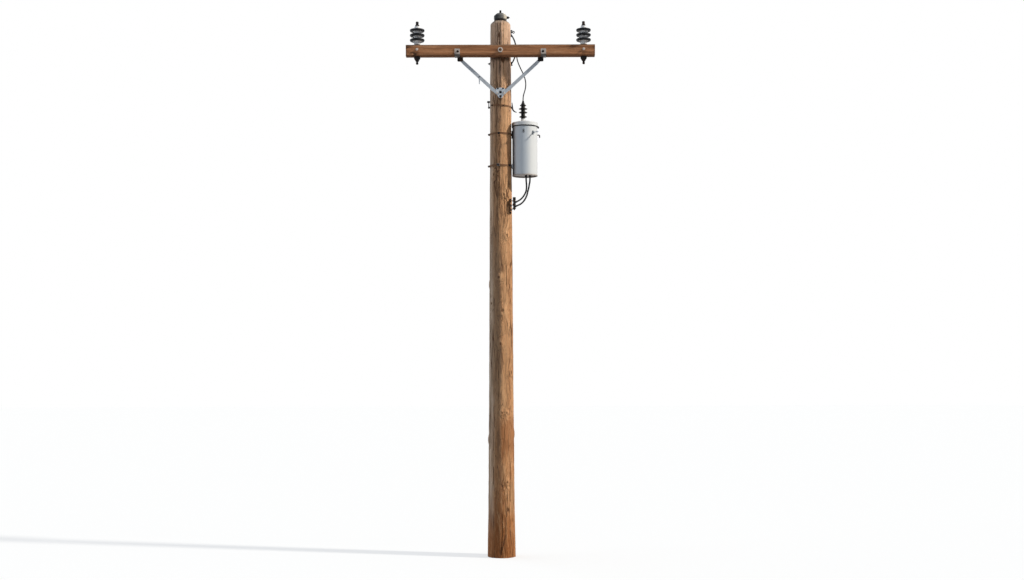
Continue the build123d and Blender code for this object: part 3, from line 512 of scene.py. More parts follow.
def pole_wood(timber):
    """Round wood, red at its foot and bleached at its top, with knots and checks, painted light and shade on
    its two halves, and painted shade below the arm and the foot plate.
    """
    finish = Finish("pole_wood")
    x, y, z = finish.axes(finish.place())
    turn = y.math('ARCTAN2', x)
    front = y.step(0.03, -0.05)
    broad = finish.noise(finish.place((3.2, 3.2, 0.55)), detail=3.0)
    patches = finish.noise(finish.place((7, 7, 1.5), (1.7, 0.6, 0.3)), detail=4.0, distortion=0.6)

    # The grain flows round the knots: each knot pushes the grain's pattern aside.
    knot, collar, shove = knot_masks(finish, timber)
    bent = finish.node("CombineXYZ", inputs=[shove * reach for reach in KNOT_SHOVE])

    def along_grain(scale, shift=(0, 0, 0)):
        moved = finish.node("VectorMath", {"operation": 'ADD'}, [finish.place(shift=shift), bent])
        return finish.node("VectorMath", {"operation": 'MULTIPLY'}, [moved, scale])

    streaks = finish.noise(along_grain((17, 17, 1.15)), detail=4.0, roughness=0.5, distortion=0.5)
    ribbons = finish.noise(along_grain((34, 34, 2.6), (0.9, 0.2, 0.5)), detail=4.0, roughness=0.5,
                           distortion=0.4)
    fibres = finish.noise(along_grain((120, 120, 3.2)), detail=5.0, roughness=0.6)
    flakes = finish.noise(along_grain((23, 23, 5.5), (0.2, 0.7, 0.1)), detail=5.0, roughness=0.66,
                          distortion=1.1)
    flecks = finish.noise(along_grain((48, 48, 13), (0.5, 0.1, 0.8)), detail=3.0, roughness=0.5)
    twist = finish.node("CombineXYZ", inputs=[flakes * 0.22, patches * 0.30, 0.0])
    twisted = finish.node("VectorMath", {"operation": 'ADD'}, [
        along_grain((13, 13, 0.8), (0.4, 0.2, 0.0)), twist])
    splits = finish.cells(twisted)

    # Red brown near the ground and bleached towards the top.
    colour = finish.mix(z.ragged(broad, 1.6).step(0.1, 2.8), timber.butt, timber.trunk)
    bleached = z.ragged(patches, 2.6).step(7.5, 9.5)
    colour = finish.mix(bleached, colour, timber.crown)

    # Layers of the grain: a pattern, where it starts and where it is full, its strength and its tint.
    # The combed patterns are fainter in bleached wood.
    layers = (
        (patches, 0.55, 0.76, 0.45, timber.pale), (patches, 0.46, 0.26, 0.45, timber.streak),
        (streaks, 0.52, 0.65, 0.46, timber.pale), (streaks, 0.47, 0.33, 0.46, timber.streak),
        (ribbons, 0.45, 0.32, 0.32, timber.streak), (ribbons, 0.54, 0.66, 0.28, timber.pale),
        (fibres, 0.52, 0.30, 0.30, timber.streak), (flakes, 0.46, 0.34, 0.62, timber.streak),
        (flakes, 0.54, 0.66, 0.60, timber.pale), (flecks, 0.40, 0.30, 0.70, timber.streak),
    )
    combed = 1.0 - bleached * 0.55
    for pattern, start, full, strength, tint in layers:
        mask = pattern.step(start, full)
        if pattern in (streaks, ribbons):
            mask = mask * combed
        colour = finish.mix(mask * strength, colour, tint)

    # The right half of the front is painted lighter: a band of painted light by the border and two pools of
    # painted light. The left half gets painted shade, and its far edge is rain grey, lightened as a painted
    # rim light.
    below, above = z.at_most(BORDER_TURNS) - BORDER_CROSSES, (z - BORDER_TURNS).at_least(0.0)
    border = (x + below * 0.006 - above * 0.010).ragged(patches, 0.05)
    border = border.ragged(streaks, 0.06).ragged(flakes, 0.09)
    painted_light_band = border.step(0.0, 0.035) * x.step(0.165, 0.07) * front * z.step(0.9, 2.9)
    colour = finish.mix(painted_light_band * 0.32, colour, timber.pale)
    # Two pools of painted light on the right half.
    for height in PAINTED_LIGHT_HEIGHTS:
        painted_light_pool = abs(z.ragged(patches, 0.4) - height).step(0.52, 0.14) * border.step(0.02, 0.10) * front
        colour = finish.mix(painted_light_pool * 0.30, colour, timber.pale)
    # Painted shade over the left half, deepest at middle heights.
    painted_shade_half = border.step(0.028, -0.030) * y.ragged(patches, 0.20).step(0.10, -0.02)
    painted_shade_tint = finish.mix(z.step(0.5, 1.7), timber.streak, PAINTED_SHADE_COLOUR)
    deeper_painted_shade = z.step(2.2, 3.0) * z.step(6.0, 5.2)
    colour = finish.mix(painted_shade_half * (0.34 + deeper_painted_shade * 0.20), colour, painted_shade_tint)
    # Rain grey at the left edge, lightened to serve as a painted rim light.
    rain_grey_and_rim_light = x.ragged(patches, 0.10).step(-0.10, -0.20) * y.ragged(patches, 0.20).step(0.05, -0.06)
    silver = finish.mix(streaks.step(0.40, 0.58), GREY_FIBRES, SILVER_FIBRES)
    colour = finish.mix(rain_grey_and_rim_light * z.step(0.1, 1.2) * 0.72, colour, silver)

    # Red earth and damp colour the foot, and one worn patch higher up.
    foot = z.ragged(broad, 0.9).step(1.00, 0.10)
    worn = abs(z.ragged(patches, 0.5) - WORN_HEIGHT).step(0.50, 0.15) * x.step(-0.04, 0.02) * front
    colour = finish.mix(foot.at_least(worn) * 0.52, colour, RED_EARTH)

    # Painted shade below the crossarm and a painted shadow below the plate that holds the braces.
    arm_low, plate_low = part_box("crossarm")[0][2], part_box("brace_foot_plate")[0][2]
    painted_shade_under_arm = z.ragged(patches, 0.10).step(arm_low - 0.085, arm_low - 0.01) * z.step(arm_low + 0.06, arm_low)
    # Painted shadow below the foot plate's tip.
    run = abs(x.ragged(streaks, 0.03)).step(0.036, 0.012) * z.step(plate_low - 0.10, plate_low - 0.01)
    painted_shade_marks = painted_shade_under_arm.at_least(run * z.step(plate_low + 0.05, plate_low)) * front
    colour = finish.mix(painted_shade_marks * 0.80, colour, PAINTED_SHADOW_COLOUR)

    # Fine splits between the fibres come in patches. The checks and the knots' eyes are as dark.
    split = splits.step(0.048, 0.012) * broad.step(0.45, 0.57)
    dark = split.at_least(check_mask(turn, z)).at_least(knot * 0.85)
    colour = finish.mix(collar * 0.06, colour, timber.pale)
    colour = finish.mix(dark * 0.86, colour, timber.streak)
    roof = z.step(timber.height - 0.08, timber.height - 0.02)
    colour = finish.mix(roof * 0.5, colour, GREY_TOP)
    relief = streaks * 0.5 + ribbons * 0.3 + fibres * 0.2 + flakes * 1.3 + collar * 0.4
    relief = relief - dark * 0.9 + patches * 0.7
    normal = finish.bump(relief, distance=0.018, strength=0.95)
    return finish.close(colour, 0.80 + fibres * 0.16, normal, constants=DRY_SHINE)


def arm_wood(timber):
    """Sawn wood with rings and splits, rust runs below its bolts and a weathered top."""
    finish = Finish("crossarm_wood")
    x, y, z = finish.axes(finish.place())
    low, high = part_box("crossarm")
    bend = finish.noise(finish.place((0.9, 5, 5)), detail=2.0)
    swirl = finish.noise(finish.place((1.6, 9, 9), (0.4, 0, 0.2)), detail=3.0, distortion=0.8)
    grain = finish.noise(finish.place((0.9, 24, 24)), detail=6.0, roughness=0.6, distortion=0.6)
    rings = ((z * 52.0 + y * 31.0 + swirl * 9.0).sine() + 1.0) * 0.5
    fibres = finish.noise(finish.place((5, 150, 150)), detail=4.0)
    splits = finish.cells(finish.place((0.75, 16, 16), (0, 0.11, 0.3)))
    colour = finish.mix(grain.step(0.50, 0.72) * 0.65, timber.wood, timber.pale)
    colour = finish.mix(grain.step(0.50, 0.27) * 0.80, colour, timber.dark)
    colour = finish.mix(rings.step(0.45, 0.95) * 0.35, colour, timber.dark)
    colour = finish.mix(fibres.step(0.56, 0.34) * 0.40, colour, timber.dark)
    colour = finish.mix(bend.step(0.52, 0.74) * 0.25, colour, BROAD_GRAIN)

    # Rust runs down from the bolts, the ends are darker, and the lower edge gets painted shade.
    clip_x, pin_x = middle("brace_clip_right").x, middle("right_pin").x
    fading = z.step(high[2] - 0.02, low[2] + 0.05)
    runs = [abs((x - bolt_x).ragged(swirl, 0.05)).step(0.055, 0.012) * fading
            for bolt_x in (0.0, -clip_x, clip_x, -pin_x, pin_x)]
    colour = finish.mix(strongest(runs) * 0.45, colour, RUST_RUN)
    ends = abs(x).step(high[0] - 0.045, high[0] - 0.004)
    colour = finish.mix(ends * 0.55, colour, timber.dark)
    # Painted shade along the lower edge.
    painted_shade_low_edge = z.step(low[2] + 0.045, low[2] + 0.004)
    colour = finish.mix(painted_shade_low_edge * 0.75, colour, dimmed(timber.dark, 0.8))
    top = z.ragged(grain, 0.02).step(high[2] - 0.024, high[2] - 0.006)
    colour = finish.mix(top * 0.80, colour, WEATHERED_TOP)
    split = splits.step(0.030, 0.006) * bend.step(0.45, 0.58)
    colour = finish.mix(split * 0.85, colour, OPEN_SPLIT)
    relief = grain * 0.55 + fibres * 0.3 + rings * 0.25 - split
    normal = finish.bump(relief, distance=0.006, strength=0.9)
    return finish.close(colour, 0.78 + fibres * 0.18, normal, constants=DRY_SHINE)


def zinc(hardware, name, base, rust_amount, painted_shade_below=None):
    """Dull zinc with faint spangle, white bloom and a little rust, with painted shade below a height."""
    finish = Finish(name)
    spangle = finish.axes(finish.cells(finish.place(), scale=42.0, feature='F1', output="Color"))[0]
    bloom = finish.noise(finish.place(), scale=17.0, detail=6.0, roughness=0.65)
    spots = finish.noise(finish.place(shift=(1.3, 0.4, 2.0)), scale=34.0, detail=5.0, roughness=0.7)
    colour = finish.mix(spangle * 0.30, base, dimmed(base, 0.66))
    colour = finish.mix(bloom.step(0.50, 0.72) * 0.45, colour, WHITE_BLOOM)
    colour = finish.mix(bloom.step(0.48, 0.28) * 0.45, colour, dimmed(base, 0.50))
    rust = spots.step(0.62, 0.78) * rust_amount
    colour = finish.mix(rust, colour, hardware.rust)
    if painted_shade_below is not None:
        # Painted shade below the given height.
        height = finish.axes(finish.place())[2].ragged(bloom, 0.03)
        painted_low_shade = height.step(painted_shade_below + 0.012, painted_shade_below - 0.012)
        colour = finish.mix(painted_low_shade * 0.88, colour, hardware.iron)
    rough = 0.42 + bloom * 0.30 + rust * 0.2
    normal = finish.bump(bloom * 0.6 + spots * 0.4, distance=0.0012)
    return finish.close(colour, rough, normal, metallic=0.30 - rust * 0.28)


def iron(hardware, name="dark_iron", rust_amount=0.35, spread=0.50):
    """Weathered iron, dark with rust in patches. A lower spread gives more rust."""
    finish = Finish(name)
    patch = finish.noise(finish.place(), scale=11.0, detail=6.0, roughness=0.65)
    grit = finish.noise(finish.place(shift=(2, 1, 0)), scale=140.0, detail=4.0, roughness=0.7)
    colour = finish.mix(patch.step(spread, spread + 0.20) * rust_amount, hardware.iron, hardware.rust)
    colour = finish.mix(grit.step(0.58, 0.75) * rust_amount * 0.5, colour, RUSTY_GRIT)
    normal = finish.bump(patch * 0.4 + grit * 0.6, distance=0.0015)
    return finish.close(colour, 0.68 + grit * 0.28, normal, constants=DULL_SHINE)


def shed_glaze(coatings, name, axis, core_radius, painted_highlight=0.0):
    """Dark glazed sheds round a pale core, which goes on under each shed. A painted highlight lightens the
    side that faces the key light.
    """
    finish = Finish(name)
    x, y, _ = finish.axes(finish.place(shift=(-axis[0], -axis[1], 0)))
    radius = (x * x + y * y) ** 0.5
    dust = finish.noise(finish.place(), scale=24.0, detail=5.0, roughness=0.6)
    runs = finish.noise(finish.place((30, 30, 5)), detail=4.0)
    sideways, _, upwards = finish.axes(finish.node("TexCoord", output="Normal"))
    bare = upwards.step(-0.10, -0.30) * radius.step(core_radius * 1.28, core_radius * 1.14)
    shed = radius.step(core_radius, core_radius + 0.006) * (1.0 - bare)
    core = finish.mix(dust.step(0.45, 0.70) * 0.5, coatings.core, dimmed(coatings.core, 0.62))
    glaze = finish.mix(dust.step(0.52, 0.75) * 0.15, coatings.glaze, SHED_DUST)
    glaze = finish.mix(runs.step(0.60, 0.76) * 0.12, glaze, SHED_RUN)
    # Painted highlight on the side that faces +X, where the key light is.
    glaze = finish.mix(sideways.ragged(dust, 0.6).step(0.15, 0.60) * painted_highlight, glaze, PAINTED_SUN_HIGHLIGHT)
    colour = finish.mix(shed, core, glaze)
    rough = 0.36 + dust * 0.22 + (1.0 - shed) * 0.12
    normal = finish.bump(dust, distance=0.0006, strength=0.6)
    return finish.close(colour, rough, normal, constants=GLAZE_SHINE)


def bell_glaze(coatings):
    """Dark glaze of the pole-top bell, with a painted highlight on the side that faces the key light and
    painted shade on the other side.
    """
    finish = Finish("bell_glaze")
    x, _, z = finish.axes(finish.place())
    bell_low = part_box("top_bell")[0][2]
    dust = finish.noise(finish.place(), scale=22.0, detail=6.0, roughness=0.62)
    runs = finish.noise(finish.place((42, 42, 6)), detail=4.0)
    # Painted highlight on the side towards the key light, painted shade on the side away from it.
    worn = x.ragged(dust, 0.06).step(0.030, 0.085)
    painted_shade_side = x.ragged(dust, 0.05).step(-0.020, -0.075)
    foot = z.step(bell_low + 0.031, bell_low + 0.008)
    colour = finish.mix(dust.step(0.46, 0.70) * 0.40, coatings.bell, BELL_DUST)
    colour = finish.mix(painted_shade_side * 0.90, colour, BELL_PAINTED_SHADE)
    colour = finish.mix(worn * 0.85, colour, BELL_PAINTED_HIGHLIGHT)
    colour = finish.mix(runs.step(0.52, 0.34) * 0.6, colour, BELL_RUN)
    colour = finish.mix(foot * 0.8, colour, BELL_FOOT)
    normal = finish.bump(dust, distance=0.0008)
    return finish.close(colour, 0.46 + dust * 0.28, normal, constants=DRY_SHINE)


def tank_paint(coatings, hardware):
    """Light grey paint with rain streaks, dust and a few rust spots, painted light on its outer side and
    painted shade on the rest.
    """
    finish = Finish("tank_paint")
    x, y, z = finish.axes(finish.place())
    low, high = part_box("tank")
    centre, reach = (low[0] + high[0]) / 2, (high[0] - low[0]) / 2
    runs = finish.noise(finish.place((34, 34, 1.1)), detail=5.0, roughness=0.6)
    cloud = finish.noise(finish.place(), scale=5.0, detail=5.0, roughness=0.6)
    peel = finish.noise(finish.place(), scale=260.0, detail=2.0)
    spots = finish.noise(finish.place(shift=(4, 0, 1)), scale=30.0, detail=6.0, roughness=0.7)
    colour = finish.mix(cloud.step(0.40, 0.72) * 0.20, coatings.paint, dimmed(coatings.paint, 0.80))
    top, foot = z.step(high[2] - 0.55, high[2] - 0.06), z.step(low[2] + 0.07, low[2] + 0.01)
    grimy = runs.step(0.55, 0.76) * (0.16 + 0.30 * top) + foot * 0.22
    colour = finish.mix(grimy, colour, coatings.grime)

    # The outer side is painted lighter and the rest a cool blue: painted light and painted shade.
    chalk = x.ragged(cloud, 0.10).step(centre, centre + 0.12)
    colour = finish.mix(chalk * 0.50, colour, PAINTED_LIGHT_TINT)
    colour = finish.mix((1.0 - chalk) * 0.40, colour, PAINTED_COOL_SHADE)

    # The lid is painted lighter than the wall. The wall that faces the pole gets painted shade, and the
    # underside a tint that is partly rust and partly painted light bounced up from the floor.
    lid = z.step(high[2] - 0.048, high[2] - 0.042)
    colour = finish.mix(lid * 0.90, colour, LIGHTER_LID_PAINT)
    # Painted shade on the wall that faces the pole.
    painted_shade_by_pole = x.ragged(cloud, 0.02).step(low[0] + 0.062, low[0] + 0.016)
    colour = finish.mix(painted_shade_by_pole * 0.86, colour, TANK_PAINTED_SHADE)
    radius = ((x - centre) ** 2.0 + y * y) ** 0.5
    # Underside tint: partly rust, partly painted light bounced up from the floor.
    under = radius.step(reach - 0.004, reach - 0.010) * z.step(low[2] + 0.034, low[2] + 0.028)
    colour = finish.mix(under * 0.85, colour, TANK_UNDERSIDE)
    bead = z.step(low[2] + 0.020, low[2] + 0.014) * (1.0 - under)
    colour = finish.mix(bead * 0.70, colour, RUSTY_BEAD)
    colour = finish.mix(spots.step(0.69, 0.78) * 0.6, colour, hardware.rust)
    rough = 0.36 + cloud * 0.22 + grimy * 0.25
    normal = finish.bump(peel * 0.3 + cloud * 0.7, distance=0.0016, strength=0.7)
    return finish.close(colour, rough, normal, constants=PAINT_SHINE)


def black_jacket(coatings, name, least_roughness):
    """Black jacket or moulding, a little chalky from the weather."""
    finish = Finish(name)
    chalk = finish.noise(finish.place(), scale=40.0, detail=5.0, roughness=0.6)
    fine = finish.noise(finish.place(), scale=320.0, detail=3.0)
    colour = finish.mix(chalk.step(0.45, 0.75) * 0.45, coatings.jacket, JACKET_CHALK)
    normal = finish.bump(chalk * 0.6 + fine * 0.4, distance=0.0008, strength=0.7)
    return finish.close(colour, least_roughness + chalk * 0.25, normal, constants=DULL_SHINE)


# Modelling helpers


# A face whose normal has more than FACING of a direction faces that way. A head's top face has more than
# LEVEL, and lies within SKIN of its height.
FACING = 0.9
LEVEL = 0.99
SKIN = 0.0005

# Points closer than this are one point.
MERGE_DISTANCE = 0.00002

# Where the noise that roughens timber has its middle.
NOISE_PLACE = (0.37, 0.11, 0.23)

# Proportions of nuts and heads: height over the flats, and chamfer, inset and rise of the top.
NUT_HEIGHT_SHARE = 0.62
NUT_CHAMFER_SHARE = 0.16
HEAD_INSET_SHARE = 0.25
HEAD_RISE_SHARE = 0.12

# Proportions of square washers: corner, and inset and rise of the middle.
WASHER_CORNER_SHARE = 0.10
WASHER_INSET_SHARE = 0.08
WASHER_RISE_SHARE = 0.18

# A shank's radius over its nut's flats, and how deep a nut sits in its washer and a shank in its nut.
SHANK_RADIUS_SHARE = 0.30
NUT_SEAT_SHARE = 0.95
SHANK_SEAT_SHARE = 0.9


def deselect():
    if bpy.context.mode != 'OBJECT':
        bpy.ops.object.mode_set(mode='OBJECT')
    bpy.ops.object.select_all(action='DESELECT')


def activate(piece):
    deselect()
    piece.select_set(True)
    bpy.context.view_layer.objects.active = piece


def select_where(test, kind):
    """In edit mode, selects the faces, edges or verts for which test is true, and nothing else."""
    mesh = bpy.context.edit_object.data
    form = bmesh.from_edit_mesh(mesh)
    for group in (form.verts, form.edges, form.faces):
        for item in group:
            item.select = False
    form.select_mode = {kind}
    bpy.context.tool_settings.mesh_select_mode = (kind == 'VERT', kind == 'EDGE', kind == 'FACE')
    items = {'VERT': form.verts, 'EDGE': form.edges, 'FACE': form.faces}[kind]
    for item in items:
        if test(item):
            item.select_set(True)
    bmesh.update_edit_mesh(mesh)


def apply_modifier(piece, kind, **settings):
    activate(piece)
    modifier = piece.modifiers.new(kind.title(), kind)
    for key, value in settings.items():
        setattr(modifier, key, value)
    bpy.ops.object.modifier_apply(modifier=modifier.name)


def roughen(piece, name, size, stretch, strength, level):
    """Moves the surface in and out by a soft noise that is stretched along the grain."""
    texture = bpy.data.textures.new(name, 'CLOUDS')
    texture.noise_scale = size
    texture.noise_depth = 3
    deselect()
    bpy.ops.object.empty_add(location=NOISE_PLACE)
    guide = bpy.context.object
    guide.scale = stretch
    bpy.context.view_layer.update()
    apply_modifier(piece, 'DISPLACE', texture=texture, texture_coords='OBJECT',
                   texture_coords_object=guide, strength=strength, mid_level=level)
    bpy.data.objects.remove(guide)
    bpy.data.textures.remove(texture)


def bake_place(piece):
    """Puts a piece's place and turn into its mesh."""
    activate(piece)
    bpy.ops.object.transform_apply(location=True, rotation=True, scale=True)


def tidy(piece, degrees=40.0):
    """Merges double points, turns the faces outwards and smooths all but the sharp edges."""
    activate(piece)
    bpy.ops.object.mode_set(mode='EDIT')
    bpy.ops.mesh.select_all(action='SELECT')
    bpy.ops.mesh.remove_doubles(threshold=MERGE_DISTANCE)
    bpy.ops.mesh.normals_make_consistent(inside=False)
    bpy.ops.object.mode_set(mode='OBJECT')
    bpy.ops.object.shade_smooth_by_angle(angle=math.radians(degrees))


def dress(piece, name, material):
    """Names a finished piece, gives it its material and lets it ride on the pole."""
    piece.name = name
    piece.data.name = name
    piece.data.materials.clear()
    piece.data.materials.append(material)
    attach(piece, "root")


def join(pieces):
    deselect()
    for piece in pieces:
        piece.select_set(True)
    bpy.context.view_layer.objects.active = pieces[0]
    if len(pieces) > 1:
        bpy.ops.object.join()
    return bpy.context.view_layer.objects.active


def aim(place, direction):
    """Matrix that stands +Z along direction at a place."""
    turn = Vector(direction).normalized().to_track_quat('Z', 'Y').to_matrix().to_4x4()
    return Matrix.Translation(place) @ turn


def copies(master, places):
    """Joined copies of a master piece at the given matrices. The master goes."""
    made = []
    for place in places:
        copy = master.copy()
        copy.data = master.data.copy()
        bpy.context.scene.collection.objects.link(copy)
        copy.matrix_world = place @ master.matrix_world
        made.append(copy)
    bpy.data.objects.remove(master)
    piece = join(made)
    bake_place(piece)
    return piece


def hexagon(across, low, height, domed=False):
    """Six-sided nut or bolt head standing on +Z, its top corners turned off."""
    deselect()
    radius = across / math.sqrt(3)
    bpy.ops.mesh.primitive_cylinder_add(vertices=6, radius=radius, depth=height,
                                        location=(0, 0, low + height / 2))
    nut = bpy.context.object
    bake_place(nut)
    bpy.ops.object.mode_set(mode='EDIT')
    top = low + height
    select_where(lambda face: face.normal.z > FACING, 'FACE')
    bpy.ops.mesh.bevel(offset=height * NUT_CHAMFER_SHARE, segments=2, affect='EDGES')
    if domed:
        select_where(lambda face: face.normal.z > LEVEL and face.calc_center_median().z > top - SKIN,
                     'FACE')
        bpy.ops.mesh.inset(thickness=radius * HEAD_INSET_SHARE)
        bpy.ops.transform.translate(value=(0, 0, height * HEAD_RISE_SHARE))
    bpy.ops.object.mode_set(mode='OBJECT')
    return nut


def disc(radius, low, height, sides=28, edge=0.18):
    """Round washer or shank end with a turned-off rim."""
    deselect()
    bpy.ops.mesh.primitive_cylinder_add(vertices=sides, radius=radius, depth=height,
                                        location=(0, 0, low + height / 2))
    washer = bpy.context.object
    bake_place(washer)
    bpy.ops.object.mode_set(mode='EDIT')
    select_where(lambda face: face.normal.z > FACING, 'FACE')
    bpy.ops.mesh.bevel(offset=min(height, radius) * edge, segments=2, affect='EDGES')
    bpy.ops.object.mode_set(mode='OBJECT')
    return washer


def square_washer(side, height):
    """Square plate washer, raised a little at its middle."""
    deselect()
    bpy.ops.mesh.primitive_cube_add(size=1, location=(0, 0, height / 2), scale=(side, side, height))
    plate = bpy.context.object
    bake_place(plate)
    bpy.ops.object.mode_set(mode='EDIT')
    select_where(lambda edge: abs(edge.verts[0].co.z - edge.verts[1].co.z) > height / 2, 'EDGE')
    bpy.ops.mesh.bevel(offset=side * WASHER_CORNER_SHARE, segments=3, affect='EDGES')
    select_where(lambda face: face.normal.z > FACING, 'FACE')
    bpy.ops.mesh.inset(thickness=side * WASHER_INSET_SHARE)
    bpy.ops.transform.translate(value=(0, 0, height * WASHER_RISE_SHARE))
    bpy.ops.object.mode_set(mode='OBJECT')
    return plate


def bolt(across, washer, washer_height, square=False, shank=0.0):
    """Washer, nut and the end of the shank that stands out of it, along +Z from the seat."""
    nut_height = across * NUT_HEIGHT_SHARE
    plate = square_washer(washer, washer_height) if square else disc(washer / 2, 0, washer_height)
    nut = hexagon(across, washer_height * NUT_SEAT_SHARE, nut_height, domed=shank == 0.0)
    pieces = [plate, nut]
    if shank:
        low = washer_height + nut_height * SHANK_SEAT_SHARE
        pieces.append(disc(across * SHANK_RADIUS_SHARE, low, shank, sides=20, edge=0.25))
    whole = join(pieces)
    tidy(whole, degrees=35.0)
    return whole


def fasten(name, material, master, places):
    """Puts copies of a fastener at the given matrices, as one finished piece."""
    dress(copies(master, places), name, material)


# Pieces


# Steps up the pole's shaft, and its roof: shares of the roof's inset and height.
SHAFT_STEPS = 46
ROOF_SHARES = ((0.06, 0.20), (0.22, 0.42), (0.55, 0.72), (0.85, 0.94), (1.0, 1.0))

# A knot's collar rises ring by ring and its eye sinks: reach in the knot's radius, share of the rise.
COLLAR_SHARES = ((2.7, 0.14), (2.3, 0.16), (1.9, 0.18), (1.5, 0.18), (1.1, 0.14), (0.5, -0.30))

# The radius of a knot with the stated rise, the half width from which a check has its full depth, and
# the radius of the pole's core, which no check reaches.
USUAL_KNOT = 0.034
FULL_CHECK = 0.018
CORE_RADIUS = 0.1

# The block that cuts the gain: its depth and width, and the room it leaves over and under the arm.
GAIN_BLOCK_DEPTH = 0.4
GAIN_BLOCK_WIDTH = 1.0
GAIN_ROOM = 0.002

# Longer edges along the grain are divided.
LONG_EDGE = 0.05

# Extra cuts of the arm: over all its faces, and then along it.
ARM_CUTS = 7
ARM_LENGTH_CUTS = 26

# Sharper edges than this stay sharp in rough timber.
TIMBER_EDGE = math.radians(45)


def pole_radius(timber, z):
    """Radius of the straight taper at height z."""
    taper = timber.top_diameter - timber.ground_diameter
    return (timber.ground_diameter + taper * z / timber.height) / 2


def middle(node):
    """Middle of a node's box."""
    low, high = (Vector(corner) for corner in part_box(node))
    return (low + high) / 2


class MakePoleTimber(bpy.types.Operator):
    """Turn the round pole, roughen it along the grain and cut the gain for the crossarm"""

    bl_idname = "utility_pole.make_pole_timber"
    bl_label = "Pole timber"

    def execute(self, context):
        timber = context.scene.pole_timber
        pole = self.turn_shaft(timber)
        roughen(pole, "trunk_lumps", size=0.55, stretch=(1, 1, 2.6), strength=timber.lump, level=0.60)
        roughen(pole, "trunk_ridges", size=0.05, stretch=(1, 1, 22), strength=timber.ridge, level=0.60)
        roughen(pole, "trunk_scars", size=0.05, stretch=(1, 1, 3), strength=timber.scar, level=0.68)
        self.raise_knots(pole, timber)
        self.open_checks(pole, timber)
        self.cut_gain(pole)
        activate(pole)
        bpy.ops.object.shade_smooth_by_angle(angle=TIMBER_EDGE)
        dress(pole, "pole_timber", pole_wood(timber))
        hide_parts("pole")
        return {'FINISHED'}

    def turn_shaft(self, timber):
        """Draws the pole up from its foot, ring by ring, to its bevelled top."""
        shoulder = timber.height - timber.roof_height
        rings = []
        for step in range(SHAFT_STEPS + 1):
            z = shoulder * step / SHAFT_STEPS
            swell = max(0.0, 1.0 - z / timber.swell_height)
            rings.append((pole_radius(timber, z) + timber.swell / 2 * swell * swell, z))
        edge = rings[-1][0]
        for inset, rise in ROOF_SHARES:
            rings.append((edge - timber.roof_inset * inset, shoulder + timber.roof_height * rise))

        deselect()
        bpy.ops.mesh.primitive_circle_add(vertices=timber.sides, radius=rings[0][0], fill_type='NGON')
        pole = bpy.context.object
        bpy.ops.object.mode_set(mode='EDIT')
        bpy.ops.mesh.select_all(action='SELECT')
        for (radius, z), (next_radius, next_z) in zip(rings, rings[1:]):
            bpy.ops.mesh.extrude_region_move(TRANSFORM_OT_translate={"value": (0, 0, next_z - z)})
            ratio = next_radius / radius
            bpy.ops.transform.resize(value=(ratio, ratio, 1), center_override=(0, 0, next_z))
        bpy.ops.mesh.select_all(action='SELECT')
        bpy.ops.mesh.normals_make_consistent(inside=False)
        select_where(lambda line: abs(line.verts[0].co.z - line.verts[1].co.z) > LONG_EDGE, 'EDGE')
        bpy.ops.mesh.subdivide(number_cuts=timber.cuts)
        bpy.ops.object.mode_set(mode='OBJECT')
        return pole

    def raise_knots(self, pole, timber):
        """Swells a collar at each knot and sinks its eye."""
        activate(pole)
        bpy.ops.object.mode_set(mode='EDIT')
        for degrees, height, size in KNOTS:
            angle = math.radians(degrees)
            radius = pole_radius(timber, height)
            centre = Vector((radius * math.cos(angle), radius * math.sin(angle), height))
            for reach, share in COLLAR_SHARES:
                select_where(lambda vert: (vert.co - centre).length < size * reach, 'VERT')
                bpy.ops.transform.shrink_fatten(value=timber.knot_rise * share * size / USUAL_KNOT)
        bpy.ops.object.mode_set(mode='OBJECT')

    def open_checks(self, pole, timber):
        """Opens each drying check as a narrow cleft along the grain."""
        activate(pole)
        bpy.ops.object.mode_set(mode='EDIT')
        spacing = math.pi / timber.sides
        for degrees, low, high, width in CHECKS:
            angle = math.radians(degrees)
            centre, half = (low + high) / 2, (high - low) / 2

            def in_check(vert):
                if not low < vert.co.z < high or vert.co.xy.length < CORE_RADIUS:
                    return False
                here = math.atan2(vert.co.y, vert.co.x) - angle - wander(vert.co.z + degrees, math.sin)
                here = (here + math.pi) % (2 * math.pi) - math.pi
                narrow = 1.0 - (abs(vert.co.z - centre) / half) ** 4
                return abs(here) < max(width, spacing) * narrow

            select_where(in_check, 'VERT')
            bpy.ops.transform.shrink_fatten(value=-timber.check_depth * min(1.0, width / FULL_CHECK))
        bpy.ops.object.mode_set(mode='OBJECT')

    def cut_gain(self, pole):
        """Cuts the flat that the crossarm's back lies against."""
        low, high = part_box("crossarm")
        deselect()
        bpy.ops.mesh.primitive_cube_add(
            size=1, location=(0, high[1] - GAIN_BLOCK_DEPTH / 2, (low[2] + high[2]) / 2),
            scale=(GAIN_BLOCK_WIDTH, GAIN_BLOCK_DEPTH, high[2] - low[2] + 2 * GAIN_ROOM))
        block = bpy.context.object
        bake_place(block)
        apply_modifier(pole, 'BOOLEAN', object=block, operation='DIFFERENCE', solver='EXACT')
        bpy.data.objects.remove(block)


